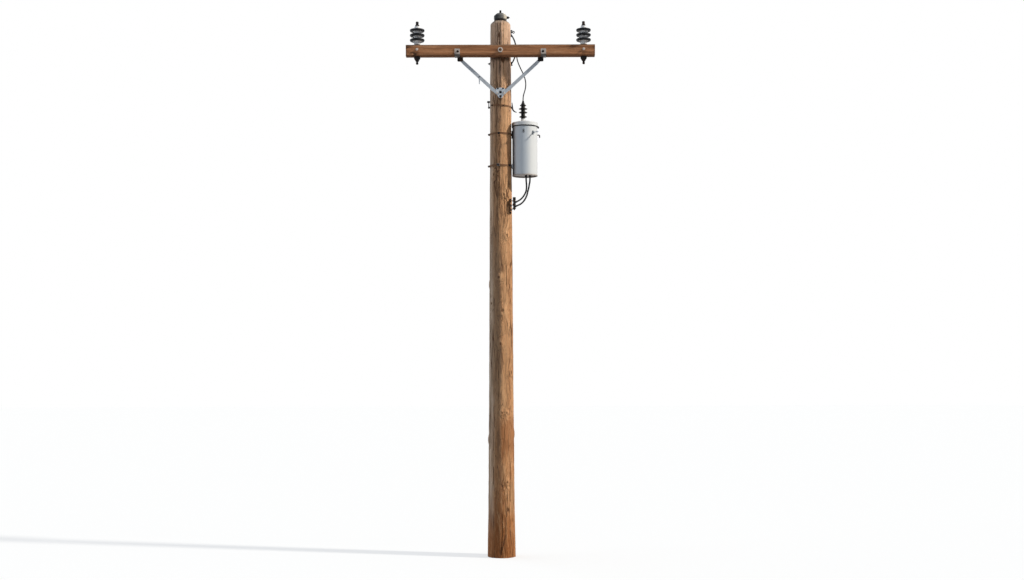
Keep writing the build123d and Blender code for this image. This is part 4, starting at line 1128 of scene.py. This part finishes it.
class MakeArmTimber(bpy.types.Operator):
    """Saw the crossarm, wear its edges and raise its grain"""

    bl_idname = "utility_pole.make_arm_timber"
    bl_label = "Crossarm timber"

    def execute(self, context):
        timber = context.scene.arm_timber
        low, high = (Vector(corner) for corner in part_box("crossarm"))
        deselect()
        bpy.ops.mesh.primitive_cube_add(size=1, location=(low + high) / 2, scale=high - low)
        arm = bpy.context.object
        bake_place(arm)
        bpy.ops.object.mode_set(mode='EDIT')
        bpy.ops.mesh.select_all(action='SELECT')
        bpy.ops.mesh.subdivide(number_cuts=ARM_CUTS)
        select_where(lambda line: abs(line.verts[0].co.x - line.verts[1].co.x) > LONG_EDGE, 'EDGE')
        bpy.ops.mesh.subdivide(number_cuts=ARM_LENGTH_CUTS)
        bpy.ops.object.mode_set(mode='OBJECT')
        apply_modifier(arm, 'BEVEL', width=timber.edge, segments=3, limit_method='ANGLE',
                       angle_limit=math.radians(60))
        roughen(arm, "arm_waviness", size=0.30, stretch=(3, 1, 1), strength=timber.ridge * 1.2,
                level=0.70)
        roughen(arm, "arm_grain", size=0.035, stretch=(16, 1, 1), strength=timber.ridge, level=0.66)
        activate(arm)
        bpy.ops.object.shade_smooth_by_angle(angle=TIMBER_EDGE)
        dress(arm, "crossarm_timber", arm_wood(timber))
        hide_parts("crossarm")
        return {'FINISHED'}


# Routes of the leads, from the fitting that each leaves to the one that it reaches.
DROP_ROUTE = (
    (0.41137, 0.0, 8.276), (0.41137, 0.0, 8.345), (0.43207, 0.0, 8.421), (0.45507, 0.0, 8.496),
    (0.46407, 0.0, 8.578), (0.45507, 0.0, 8.660), (0.43007, 0.0, 8.740), (0.39707, 0.0, 8.816),
    (0.36107, 0.0, 8.889), (0.33007, 0.0, 8.962), (0.30707, 0.0, 9.030), (0.30046, 0.0, 9.080),
    (0.30046, 0.0, 9.110),
)
INNER_ROUTE = (
    (0.46307, 0.02, 6.862), (0.46307, 0.02, 6.802), (0.47147, 0.0028, 6.7144), (0.46647, 0.0013, 6.6276),
    (0.44897, -0.0002, 6.5726), (0.40867, -0.0146, 6.5034), (0.35997, -0.0415, 6.4508),
    (0.31821, -0.07587, 6.42075), (0.28547, -0.12195, 6.40062),
)
OUTER_ROUTE = (
    (0.53407, 0.06, 6.862), (0.53407, 0.06, 6.802), (0.52117, 0.0586, 6.7414), (0.50947, 0.0398, 6.6648),
    (0.49227, 0.0375, 6.6084), (0.47687, 0.0144, 6.5286), (0.42467, -0.0165, 6.4281),
    (0.37077, -0.0493, 6.3712), (0.32395, -0.08028, 6.34522), (0.28865, -0.12434, 6.3249),
)


class MakeLeads(bpy.types.Operator):
    """Lay the drop lead and the two secondary leads along their routes"""

    bl_idname = "utility_pole.make_leads"
    bl_label = "Leads"

    def execute(self, context):
        material = black_jacket(context.scene.coatings, "lead_jacket", JACKET_ROUGHNESS)
        for node, route, diameter, length in (
                ("drop_lead", DROP_ROUTE, 0.020, 0.8694),
                ("inner_lead", INNER_ROUTE, 0.030, 0.5718),
                ("outer_lead", OUTER_ROUTE, 0.030, 0.6666)):
            curve = bpy.data.curves.new(node + "_cable", 'CURVE')
            curve.dimensions = '3D'
            line = curve.splines.new('NURBS')
            line.points.add(len(route) - 1)
            for point, place in zip(line.points, route):
                point.co = (*place, 1.0)
            line.order_u = 3
            line.use_endpoint_u = True
            line.resolution_u = 10
            curve.bevel_depth = diameter / 2
            curve.bevel_resolution = 5
            curve.use_fill_caps = True
            cable = bpy.data.objects.new(node + "_cable", curve)
            context.scene.collection.objects.link(cable)
            dress(cable, node + "_cable", material)
            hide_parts(node)
        return {'FINISHED'}


# The ways that fasteners face, and the two sides that paired fasteners stand on.
LEFT, RIGHT, FORWARD, BACKWARD, UP = (-1, 0, 0), (1, 0, 0), (0, -1, 0), (0, 1, 0), (0, 0, 1)
BOTH_SIDES = (-1, 1)

# Heights of the arm's bolts from the middle of the arm, and how far the clips' bolts sit inwards.
ARM_BOLT_RISE = 0.006
PIN_LOCK_RISE = 0.018
CLIP_BOLT_RISE = -0.024
CLIP_BACK_RISE = -0.022
CLIP_BOLT_INSET = 0.008

# The arm bolt's washer, which its nut sinks into a little, and how deep rear washers sink into the wood.
ARM_WASHER_RADIUS = 0.046
ARM_WASHER_THICKNESS = 0.012
ARM_NUT_STAND = 0.0115
REAR_SINK = 0.003

# The radius of a brace's round ends, and the fasteners of the plate at its foot, from the lower end's
# bolt.
BRACE_END_RADIUS = 0.0285
PLATE_BOLT_RISES = (0.018, -0.060)
PLATE_SCREW_REACH = 0.046
PLATE_SCREW_RISE = 0.086

# The tag on the left brace, how far it stands off the brace and its middle hangs below its bolt, its
# tip's share of its width, and its corners' radius.
TAG_X = -0.384
TAG_SIZE = (0.030, 0.005, 0.142)
TAG_STAND = 0.003
TAG_DROP = 0.062
TAG_TIP_SHARE = 0.45
TAG_CORNER = 0.005


class MakeArmBolts(bpy.types.Operator):
    """Bolt the crossarm, its braces and its insulators"""

    bl_idname = "utility_pole.make_arm_bolts"
    bl_label = "Crossarm bolts"

    def execute(self, context):
        hardware = context.scene.hardware
        timber = context.scene.pole_timber
        bright = zinc(hardware, "bright_zinc", hardware.bright_zinc, rust_amount=0.35)
        dull = zinc(hardware, "dull_zinc", hardware.zinc, rust_amount=0.30)
        dark = iron(hardware, "bolt_iron", rust_amount=0.30)
        rusty = iron(hardware, "nut_iron", rust_amount=0.9, spread=0.34)
        arm_low, arm_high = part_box("crossarm")
        front, back = arm_low[1], arm_high[1]
        arm_z = middle("crossarm").z
        bolt_z, lock_z = arm_z + ARM_BOLT_RISE, arm_z + PIN_LOCK_RISE
        pin_x = middle("right_pin").x
        clip_x, clip_front = middle("brace_clip_right").x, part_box("brace_clip_right")[0][1]
        clevis_low, clevis_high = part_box("brace_clevis_right")
        brace_low, brace_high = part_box("brace_right")
        pin_distance, pin_height = brace_high[0] - BRACE_END_RADIUS, brace_high[2] - BRACE_END_RADIUS
        foot_distance, foot_height = brace_low[0] + BRACE_END_RADIUS, brace_low[2] + BRACE_END_RADIUS
        brace_front, plate_front = brace_low[1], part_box("brace_foot_plate")[0][1]

        fasten("arm_bolt_washer", bright,
               disc(ARM_WASHER_RADIUS, low=0.0, height=ARM_WASHER_THICKNESS),
               [aim((0, front, bolt_z), FORWARD)])
        fasten("arm_bolt_nut", rusty,
               bolt(hardware.large_bolt, washer=0.050, washer_height=0.004, shank=0.020),
               [aim((0, front - ARM_NUT_STAND, bolt_z), FORWARD)])
        fasten("pole_rear_bolts", bright,
               bolt(hardware.large_bolt, washer=0.080, washer_height=0.010, square=True, shank=0.05),
               [aim((0, pole_radius(timber, z) - REAR_SINK, z), BACKWARD) for z in (arm_z, foot_height)])
        fasten("pin_lock_bolts", bright,
               bolt(0.030, washer=0.048, washer_height=0.005, shank=0.012),
               [aim((side * pin_x, front, lock_z), FORWARD) for side in BOTH_SIDES])
        fasten("arm_back_bolts", bright,
               bolt(0.030, washer=0.050, washer_height=0.005, square=True, shank=0.022),
               [aim((side * x, back, z), BACKWARD) for side in BOTH_SIDES
                for x, z in ((pin_x, lock_z), (clip_x, arm_z + CLIP_BACK_RISE))])
        fasten("brace_clip_bolts", dark,
               bolt(hardware.middle_bolt, washer=0.044, washer_height=0.004, shank=0.014),
               [aim((side * (clip_x - CLIP_BOLT_INSET), clip_front, arm_z + CLIP_BOLT_RISE), FORWARD)
                for side in BOTH_SIDES])
        fasten("clevis_pins", dark,
               bolt(hardware.small_bolt, washer=0.034, washer_height=0.003, shank=0.008),
               [aim((side * pin_distance, y, pin_height), direction) for side in BOTH_SIDES
                for y, direction in ((clevis_low[1], FORWARD), (clevis_high[1], BACKWARD))])
        fasten("foot_plate_bolts", dark,
               bolt(hardware.middle_bolt, washer=0.046, washer_height=0.004, shank=0.016),
               [aim((0.0, plate_front, foot_height + rise), FORWARD) for rise in PLATE_BOLT_RISES])
        fasten("foot_plate_screws", dark,
               bolt(hardware.small_bolt, washer=0.030, washer_height=0.003),
               [aim((side * PLATE_SCREW_REACH, plate_front, foot_height + PLATE_SCREW_RISE), FORWARD)
                for side in BOTH_SIDES])
        fasten("brace_foot_bolts", bright, bolt(0.024, washer=0.036, washer_height=0.003),
               [aim((side * foot_distance, brace_front, foot_height), FORWARD) for side in BOTH_SIDES])

        slope = (pin_height - foot_height) / (pin_distance - foot_distance)
        tag_z = foot_height + slope * (-TAG_X - foot_distance)
        dress(self.cut_tag(brace_front, tag_z), "brace_tag", dull)
        tag_front = brace_front - TAG_STAND - TAG_SIZE[1] / 2
        fasten("brace_tag_bolt", dark, bolt(0.016, washer=0.022, washer_height=0.002),
               [aim((TAG_X, tag_front, tag_z), FORWARD)])
        return {'FINISHED'}

    def cut_tag(self, brace_front, tag_z):
        """Cuts the tag plate that hangs from the left brace by one small bolt."""
        deselect()
        bpy.ops.mesh.primitive_cube_add(
            size=1, location=(TAG_X, brace_front - TAG_STAND, tag_z - TAG_DROP), scale=TAG_SIZE)
        tag = bpy.context.object
        bake_place(tag)
        bpy.ops.object.mode_set(mode='EDIT')
        select_where(lambda face: face.normal.z < -FACING, 'FACE')
        bpy.ops.transform.resize(value=(TAG_TIP_SHARE, 1, 1), center_override=(TAG_X, brace_front, tag_z))
        select_where(lambda line: abs(line.verts[0].co.y - line.verts[1].co.y) > TAG_SIZE[1] / 2, 'EDGE')
        bpy.ops.mesh.bevel(offset=TAG_CORNER, segments=3, affect='EDGES')
        bpy.ops.object.mode_set(mode='OBJECT')
        tidy(tag)
        return tag


# The hanger bands' thickness, and where the bolts through their ears are.
BAND_THICKNESS = 0.006
EAR_INSET = 0.013
EAR_FACE = 0.016

# Buckle bolts: turn round the pole in degrees, band, rise from its middle, and stand off the wood.
BUCKLES = (
    (-99, "upper_hanger_band", 0.0, BAND_THICKNESS), (60, "upper_hanger_band", 0.0, BAND_THICKNESS),
    (-103, "lower_hanger_band", 0.004, 2 * BAND_THICKNESS),
    (-42, "lower_hanger_band", 0.0, BAND_THICKNESS), (60, "lower_hanger_band", 0.0, BAND_THICKNESS),
)

# Plates on the lower hanger band: turn round the pole in degrees, rise from the band's middle.
BAND_PLATES = ((-103, 0.004), (118, 0.0))

# The upper strap: its height at the pole's middle, its slope, and its screws' turns in degrees.
STRAP_HEIGHT = 8.160
STRAP_SLOPE = math.tan(math.radians(4.0))
STRAP_SCREWS = (-140, -75, -12)

# The bolt that goes through the pole to the jumper bar, and how deep its washer sinks into the wood.
THROUGH_BOLT_HEIGHT = 8.961
THROUGH_BOLT_SINK = 0.001

# The jumper bar's pads: how far they stand off the wood, the upper one's height, and their bolts' inset.
PAD_STAND = 0.0143
UPPER_PAD_HEIGHT = 0.126
PAD_BOLT_INSET = 0.011

# Bolts of the jumper clamp and the ring latch, from the middles of those.
CLAMP_BOLT_REACH = 0.012
LATCH_BOLT_REACH = 0.003
LATCH_BOLT_DROP = 0.004

# The rack: its turn in degrees, how far its face stands off the wood, and its bolts' insets.
RACK_TURN = -36
RACK_STAND = 0.0083
RACK_LOWER_INSET = 0.026
RACK_UPPER_INSET = 0.020

# The bushing flange's thickness, and its bolts' turns in degrees and reach from its axis.
FLANGE_THICKNESS = 0.012
FLANGE_BOLT_TURNS = (45, 135, 225, 315)
FLANGE_BOLT_REACH = 0.0475

# The tank's bosses: turn in degrees and drop from the tank's top, and their reach from the tank's axis.
BOSSES = ((-96, 0.157), (-50, 0.181))
BOSS_REACH = 0.2693


def outwards(degrees):
    """Level direction at a turn from the right."""
    angle = math.radians(degrees)
    return Vector((math.cos(angle), math.sin(angle), 0))


class MakePoleBolts(bpy.types.Operator):
    """Bolt the bands, pads, rack and clamps"""

    bl_idname = "utility_pole.make_pole_bolts"
    bl_label = "Band and clamp bolts"

    def execute(self, context):
        hardware = context.scene.hardware
        timber = context.scene.pole_timber
        dull = bpy.data.materials["dull_zinc"]
        dark = bpy.data.materials["bolt_iron"]

        def on_pole(degrees, z, stand):
            """Matrix that stands a fastener on the pole's side."""
            outward = outwards(degrees)
            return aim(outward * (pole_radius(timber, z) + stand) + Vector((0, 0, z)), outward)

        fasten("band_bolts", dark,
               bolt(hardware.small_bolt, washer=0.028, washer_height=0.003, shank=0.010),
               [aim((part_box(band)[0][0] + EAR_INSET, y, middle(band).z), direction)
                for band in ("upper_hanger_band", "lower_hanger_band")
                for y, direction in ((-EAR_FACE, FORWARD), (EAR_FACE, BACKWARD))])
        fasten("band_buckle_bolts", dark,
               bolt(0.032, washer=0.044, washer_height=0.005, shank=0.012),
               [on_pole(degrees, middle(band).z + rise, stand) for degrees, band, rise, stand in BUCKLES])
        lower = middle("lower_hanger_band").z
        fasten("lower_band_plates", dull, square_washer(side=0.044, height=0.006),
               [on_pole(degrees, lower + rise, BAND_THICKNESS) for degrees, rise in BAND_PLATES])

        strap_radius = pole_radius(timber, middle("upper_band").z)
        strap_screws = []
        for degrees in STRAP_SCREWS:
            run = strap_radius * math.cos(math.radians(degrees))
            strap_screws.append(on_pole(degrees, STRAP_HEIGHT - run * STRAP_SLOPE, BAND_THICKNESS))
        fasten("strap_screws", dark, bolt(0.020, washer=0.026, washer_height=0.003),
               strap_screws)
        through_x = -pole_radius(timber, THROUGH_BOLT_HEIGHT) + THROUGH_BOLT_SINK
        fasten("through_bolt_end", dark,
               bolt(0.030, washer=0.052, washer_height=0.005, square=True, shank=0.018),
               [aim((through_x, 0, THROUGH_BOLT_HEIGHT), LEFT)])

        clamp, clamp_box = middle("jumper_clamp"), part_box("jumper_clamp")
        top, top_box = middle("top_clamp"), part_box("top_clamp")
        latch, latch_box = middle("ring_latch"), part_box("ring_latch")
        bar_low, bar_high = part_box("jumper_bar")[0][2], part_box("jumper_bar")[1][2]
        lower_pad = pole_radius(timber, bar_low) + PAD_STAND
        upper_pad = pole_radius(timber, bar_high - UPPER_PAD_HEIGHT) + PAD_STAND
        clamp_x = clamp.x + CLAMP_BOLT_REACH
        latch_x, latch_z = latch.x + LATCH_BOLT_REACH, latch.z - LATCH_BOLT_DROP
        fasten("clamp_bolts", dark,
               bolt(0.018, washer=0.024, washer_height=0.0025, shank=0.006), [
                   aim((lower_pad, 0, bar_low + PAD_BOLT_INSET), RIGHT),
                   aim((upper_pad, 0, bar_high - PAD_BOLT_INSET), RIGHT),
                   aim((clamp_x, clamp_box[0][1], clamp.z), FORWARD),
                   aim((clamp_x, clamp_box[1][1], clamp.z), BACKWARD),
                   aim((top.x, top_box[0][1], top.z), FORWARD),
                   aim((top_box[1][0], 0, top.z), RIGHT),
                   aim((latch_x, latch_box[0][1], latch_z), FORWARD),
                   aim((latch_x, latch_box[1][1], latch_z), BACKWARD)])

        rack_low, rack_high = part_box("rack_plate")[0][2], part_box("rack_plate")[1][2]
        rack_face = pole_radius(timber, rack_low) + RACK_STAND
        fasten("rack_bolts", dark,
               bolt(hardware.small_bolt, washer=0.032, washer_height=0.003, shank=0.008),
               [on_pole(RACK_TURN, z, rack_face - pole_radius(timber, z))
                for z in (rack_low + RACK_LOWER_INSET, rack_high - RACK_UPPER_INSET)])

        flange, flange_top = middle("bushing_flange"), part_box("bushing_flange")[0][2] + FLANGE_THICKNESS
        flange_bolts = []
        for degrees in FLANGE_BOLT_TURNS:
            angle = math.radians(degrees)
            x, y = FLANGE_BOLT_REACH * math.cos(angle), FLANGE_BOLT_REACH * math.sin(angle)
            flange_bolts.append(aim((flange.x + x, y, flange_top), UP))
        axis, tank_top = Vector((middle("lid").x, 0, 0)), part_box("tank")[1][2]
        boss_ends = [aim(axis + Vector((0, 0, tank_top - drop)) + outwards(degrees) * BOSS_REACH,
                         outwards(degrees)) for degrees, drop in BOSSES]
        fasten("tank_bolts", dark,
               bolt(0.013, washer=0.018, washer_height=0.002, shank=0.004), flange_bolts + boss_ends)
        fasten("corner_boss_stud", dull,
               disc(0.009, low=0.0, height=0.104, sides=20, edge=0.10), boss_ends[-1:])
        return {'FINISHED'}


# Radius of the pale core between the sheds, and how high the painted shade on the clips reaches up the arm.
INSULATOR_CORE = 0.066
BUSHING_CORE = 0.010
CLIP_SHADE_HEIGHT = 0.034


class FinishMetalwork(bpy.types.Operator):
    """Give every modelled fitting its weathered finish"""

    bl_idname = "utility_pole.finish_metalwork"
    bl_label = "Fitting finishes"

    def execute(self, context):
        hardware = context.scene.hardware
        coatings = context.scene.coatings
        dull = bpy.data.materials["dull_zinc"]
        dark = iron(hardware)
        rusty = iron(hardware, "rusty_iron", rust_amount=1.0, spread=0.24)
        ring = iron(hardware, "ring_iron", rust_amount=0.08, spread=0.55)
        boss = zinc(hardware, "boss_zinc", BOSS_ZINC, rust_amount=0.2)
        # The clips get painted shade on their lowest part, by the arm's lower edge.
        clip = zinc(hardware, "clip_zinc", CLIP_ZINC, rust_amount=0.5,
                    painted_shade_below=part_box("crossarm")[0][2] + CLIP_SHADE_HEIGHT)
        plate = zinc(hardware, "plate_zinc", PLATE_ZINC, rust_amount=0.12)
        paint = tank_paint(coatings, hardware)
        moulding = black_jacket(coatings, "black_moulding", JACKET_ROUGHNESS)
        arm_y = middle("left_insulator").y
        pin_x = middle("right_insulator").x
        bushing_x = middle("bushing").x
        finishes = {
            dull: ("brace_left", "brace_right", "lower_hanger"),
            boss: ("tank_bosses",),
            ring: ("clamp_ring",),
            clip: ("brace_clip_left", "brace_clip_right"),
            plate: ("brace_foot_plate",),
            dark: ("brace_clevis_left", "brace_clevis_right", "left_pin", "right_pin", "left_pin_nut",
                   "right_pin_nut", "left_stud", "right_stud", "top_ring", "top_stud", "top_clamp",
                   "jumper_bar", "jumper_clamp", "deadend_eye", "side_bracket", "strap_tail",
                   "upper_hanger", "ring_latch", "bushing_terminal", "lift_hook", "rack_pin"),
            rusty: ("upper_band", "upper_hanger_band", "lower_hanger_band", "rack_plate"),
            paint: ("tank", "lid", "bushing_flange"),
            moulding: ("glands", "spools", "ferrules"),
            shed_glaze(coatings, "left_glaze", (-pin_x, arm_y), INSULATOR_CORE): ("left_insulator",),
            shed_glaze(coatings, "right_glaze", (pin_x, arm_y), INSULATOR_CORE): ("right_insulator",),
            # The bushing's sheds get a painted highlight on the side towards the key light.
            shed_glaze(coatings, "bushing_glaze", (bushing_x, 0), BUSHING_CORE, painted_highlight=0.45): ("bushing",),
            bell_glaze(coatings): ("top_bell",),
        }
        for material, nodes in finishes.items():
            for node in nodes:
                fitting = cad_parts[node]
                if not fitting.material_slots:
                    fitting.data.materials.append(material)
                for slot in fitting.material_slots:
                    slot.material = material
        return {'FINISHED'}


# The backdrop's colour, the lamps' and the view's distances in metres, and the camera's sensor in
# millimetres.
WHITE = (1.0, 1.0, 1.0)
LAMP_DISTANCE = 20.0
SENSOR_WIDTH = 36.0
FARTHEST_SEEN = 400.0


class MakeStage(bpy.types.Operator):
    """Set the pale floor, the soft light and the camera"""

    bl_idname = "utility_pole.make_stage"
    bl_label = "Stage"

    def execute(self, context):
        stage = context.scene.pole_stage
        self.lay_floor(stage)
        self.fill_world(context.scene, stage)
        self.hang_lamps(stage)
        self.place_camera(context.scene, stage)
        context.scene.view_settings.view_transform = 'Standard'
        return {'FINISHED'}

    def lay_floor(self, stage):
        """Lays a floor that looks white, keeps shadows and sends little light up."""
        deselect()
        bpy.ops.mesh.primitive_grid_add(x_subdivisions=8, y_subdivisions=8, size=stage.floor_size)
        floor = bpy.context.object
        floor.name = "floor"
        finish = Finish("pale_floor")
        path = finish.tree.nodes.new("ShaderNodeLightPath").outputs
        seen = strongest([Value(finish, path[name]) for name in (
            "Is Camera Ray", "Is Glossy Ray", "Is Transmission Ray")])
        finish.close(finish.mix(seen, stage.floor_bounce, stage.floor), 0.9,
                     constants={"Specular IOR Level": 0.0})
        glow = finish.node("Emission", inputs={"Color": WHITE, "Strength": stage.floor_glow})
        lit = Value(finish, finish.shader.outputs[0])
        mixed = finish.node("MixShader", inputs=[seen * 0.5, lit, glow])
        output = next(node for node in finish.tree.nodes if node.type == 'OUTPUT_MATERIAL')
        finish.tree.links.new(mixed.socket, output.inputs[0])
        floor.data.materials.append(finish.material)

    def fill_world(self, scene, stage):
        """Fills the world with soft light that looks white from the camera."""
        scene.world = bpy.data.worlds.new("soft_fill")
        scene.world.use_nodes = True
        tree = scene.world.node_tree
        tree.nodes.clear()
        path = tree.nodes.new("ShaderNodeLightPath").outputs
        seen = tree.nodes.new("ShaderNodeMath")
        seen.operation = 'MAXIMUM'
        tree.links.new(path["Is Camera Ray"], seen.inputs[0])
        tree.links.new(path["Is Transmission Ray"], seen.inputs[1])
        shown = tree.nodes.new("ShaderNodeMix")
        shown.data_type = 'RGBA'
        tree.links.new(seen.outputs[0], shown.inputs[MIX_FACTOR])
        shown.inputs[MIX_FIRST].default_value = (*stage.sky, 1.0)
        shown.inputs[MIX_SECOND].default_value = (*WHITE, 1.0)
        background = tree.nodes.new("ShaderNodeBackground")
        tree.links.new(shown.outputs[MIX_RESULT], background.inputs[0])
        output = tree.nodes.new("ShaderNodeOutputWorld")
        tree.links.new(background.outputs[0], output.inputs[0])

    def hang_lamps(self, stage):
        """Hangs the warm key light on the right and the cool side light on the left."""
        turn, height = stage.key_turn, stage.key_height
        level = math.cos(height)
        key_towards = (level * math.cos(turn), -level * math.sin(turn), math.sin(height))
        for name, towards, strength, colour, softness in (
                ("key_light", key_towards, stage.key_strength, stage.key_colour, stage.key_softness),
                ("side_light", stage.side_towards, stage.side_strength, stage.side_colour,
                 stage.side_softness)):
            direction = Vector(towards)
            bpy.ops.object.light_add(type='SUN', location=direction * LAMP_DISTANCE)
            lamp = bpy.context.object
            lamp.name = name
            lamp.rotation_euler = direction.to_track_quat('Z', 'Y').to_euler()
            lamp.data.energy = strength
            lamp.data.color = colour
            lamp.data.angle = softness

    def place_camera(self, scene, stage):
        """Stands the camera in front of the pole, looking up a little."""
        camera = bpy.data.cameras.new("camera")
        camera.lens = stage.lens
        camera.sensor_width = SENSOR_WIDTH
        camera.clip_end = FARTHEST_SEEN
        viewer = bpy.data.objects.new("camera", camera)
        viewer.location = stage.camera_place
        tilt = Matrix.Rotation(math.pi / 2 + stage.camera_pitch, 4, 'X')
        viewer.rotation_euler = (tilt @ Matrix.Rotation(-stage.camera_roll, 4, 'Z')).to_euler()
        scene.collection.objects.link(viewer)
        scene.camera = viewer


class UtilityPolePanel(bpy.types.Panel):
    """Lists the pole's pieces and their settings"""

    bl_idname = "VIEW3D_PT_utility_pole"
    bl_label = "Utility pole"
    bl_space_type = 'VIEW_3D'
    bl_region_type = 'UI'
    bl_category = "Utility Pole"

    def draw(self, context):
        for settings, operators in PANEL_ROWS:
            box = self.layout.box()
            group = getattr(context.scene, settings)
            for name in type(group).__annotations__:
                box.prop(group, name)
            for operator in operators:
                box.operator(operator.bl_idname)


PANEL_ROWS = (
    ("pole_timber", (MakePoleTimber,)),
    ("arm_timber", (MakeArmTimber,)),
    ("hardware", (MakeArmBolts, MakePoleBolts)),
    ("coatings", (MakeLeads, FinishMetalwork)),
    ("pole_stage", (MakeStage,)),
)
GROUPS = (
    ("pole_timber", PoleTimber), ("arm_timber", ArmTimber), ("hardware", Hardware),
    ("coatings", Coatings), ("pole_stage", Stage),
)
CLASSES = (
    MakePoleTimber, MakeArmTimber, MakeLeads, MakeArmBolts, MakePoleBolts, FinishMetalwork, MakeStage,
    UtilityPolePanel,
)


def register():
    for name, group in GROUPS:
        bpy.utils.register_class(group)
        setattr(bpy.types.Scene, name, PointerProperty(type=group))
    for item in CLASSES:
        bpy.utils.register_class(item)


def unregister():
    for item in reversed(CLASSES):
        bpy.utils.unregister_class(item)
    for name, group in reversed(GROUPS):
        delattr(bpy.types.Scene, name)
        bpy.utils.unregister_class(group)


def main():
    register()
    bpy.ops.utility_pole.make_stage()
    bpy.ops.utility_pole.make_leads()
    bpy.ops.utility_pole.make_pole_timber()
    bpy.ops.utility_pole.make_arm_timber()
    bpy.ops.utility_pole.make_arm_bolts()
    bpy.ops.utility_pole.make_pole_bolts()
    bpy.ops.utility_pole.finish_metalwork()


if __name__ == "__main__":
    main()
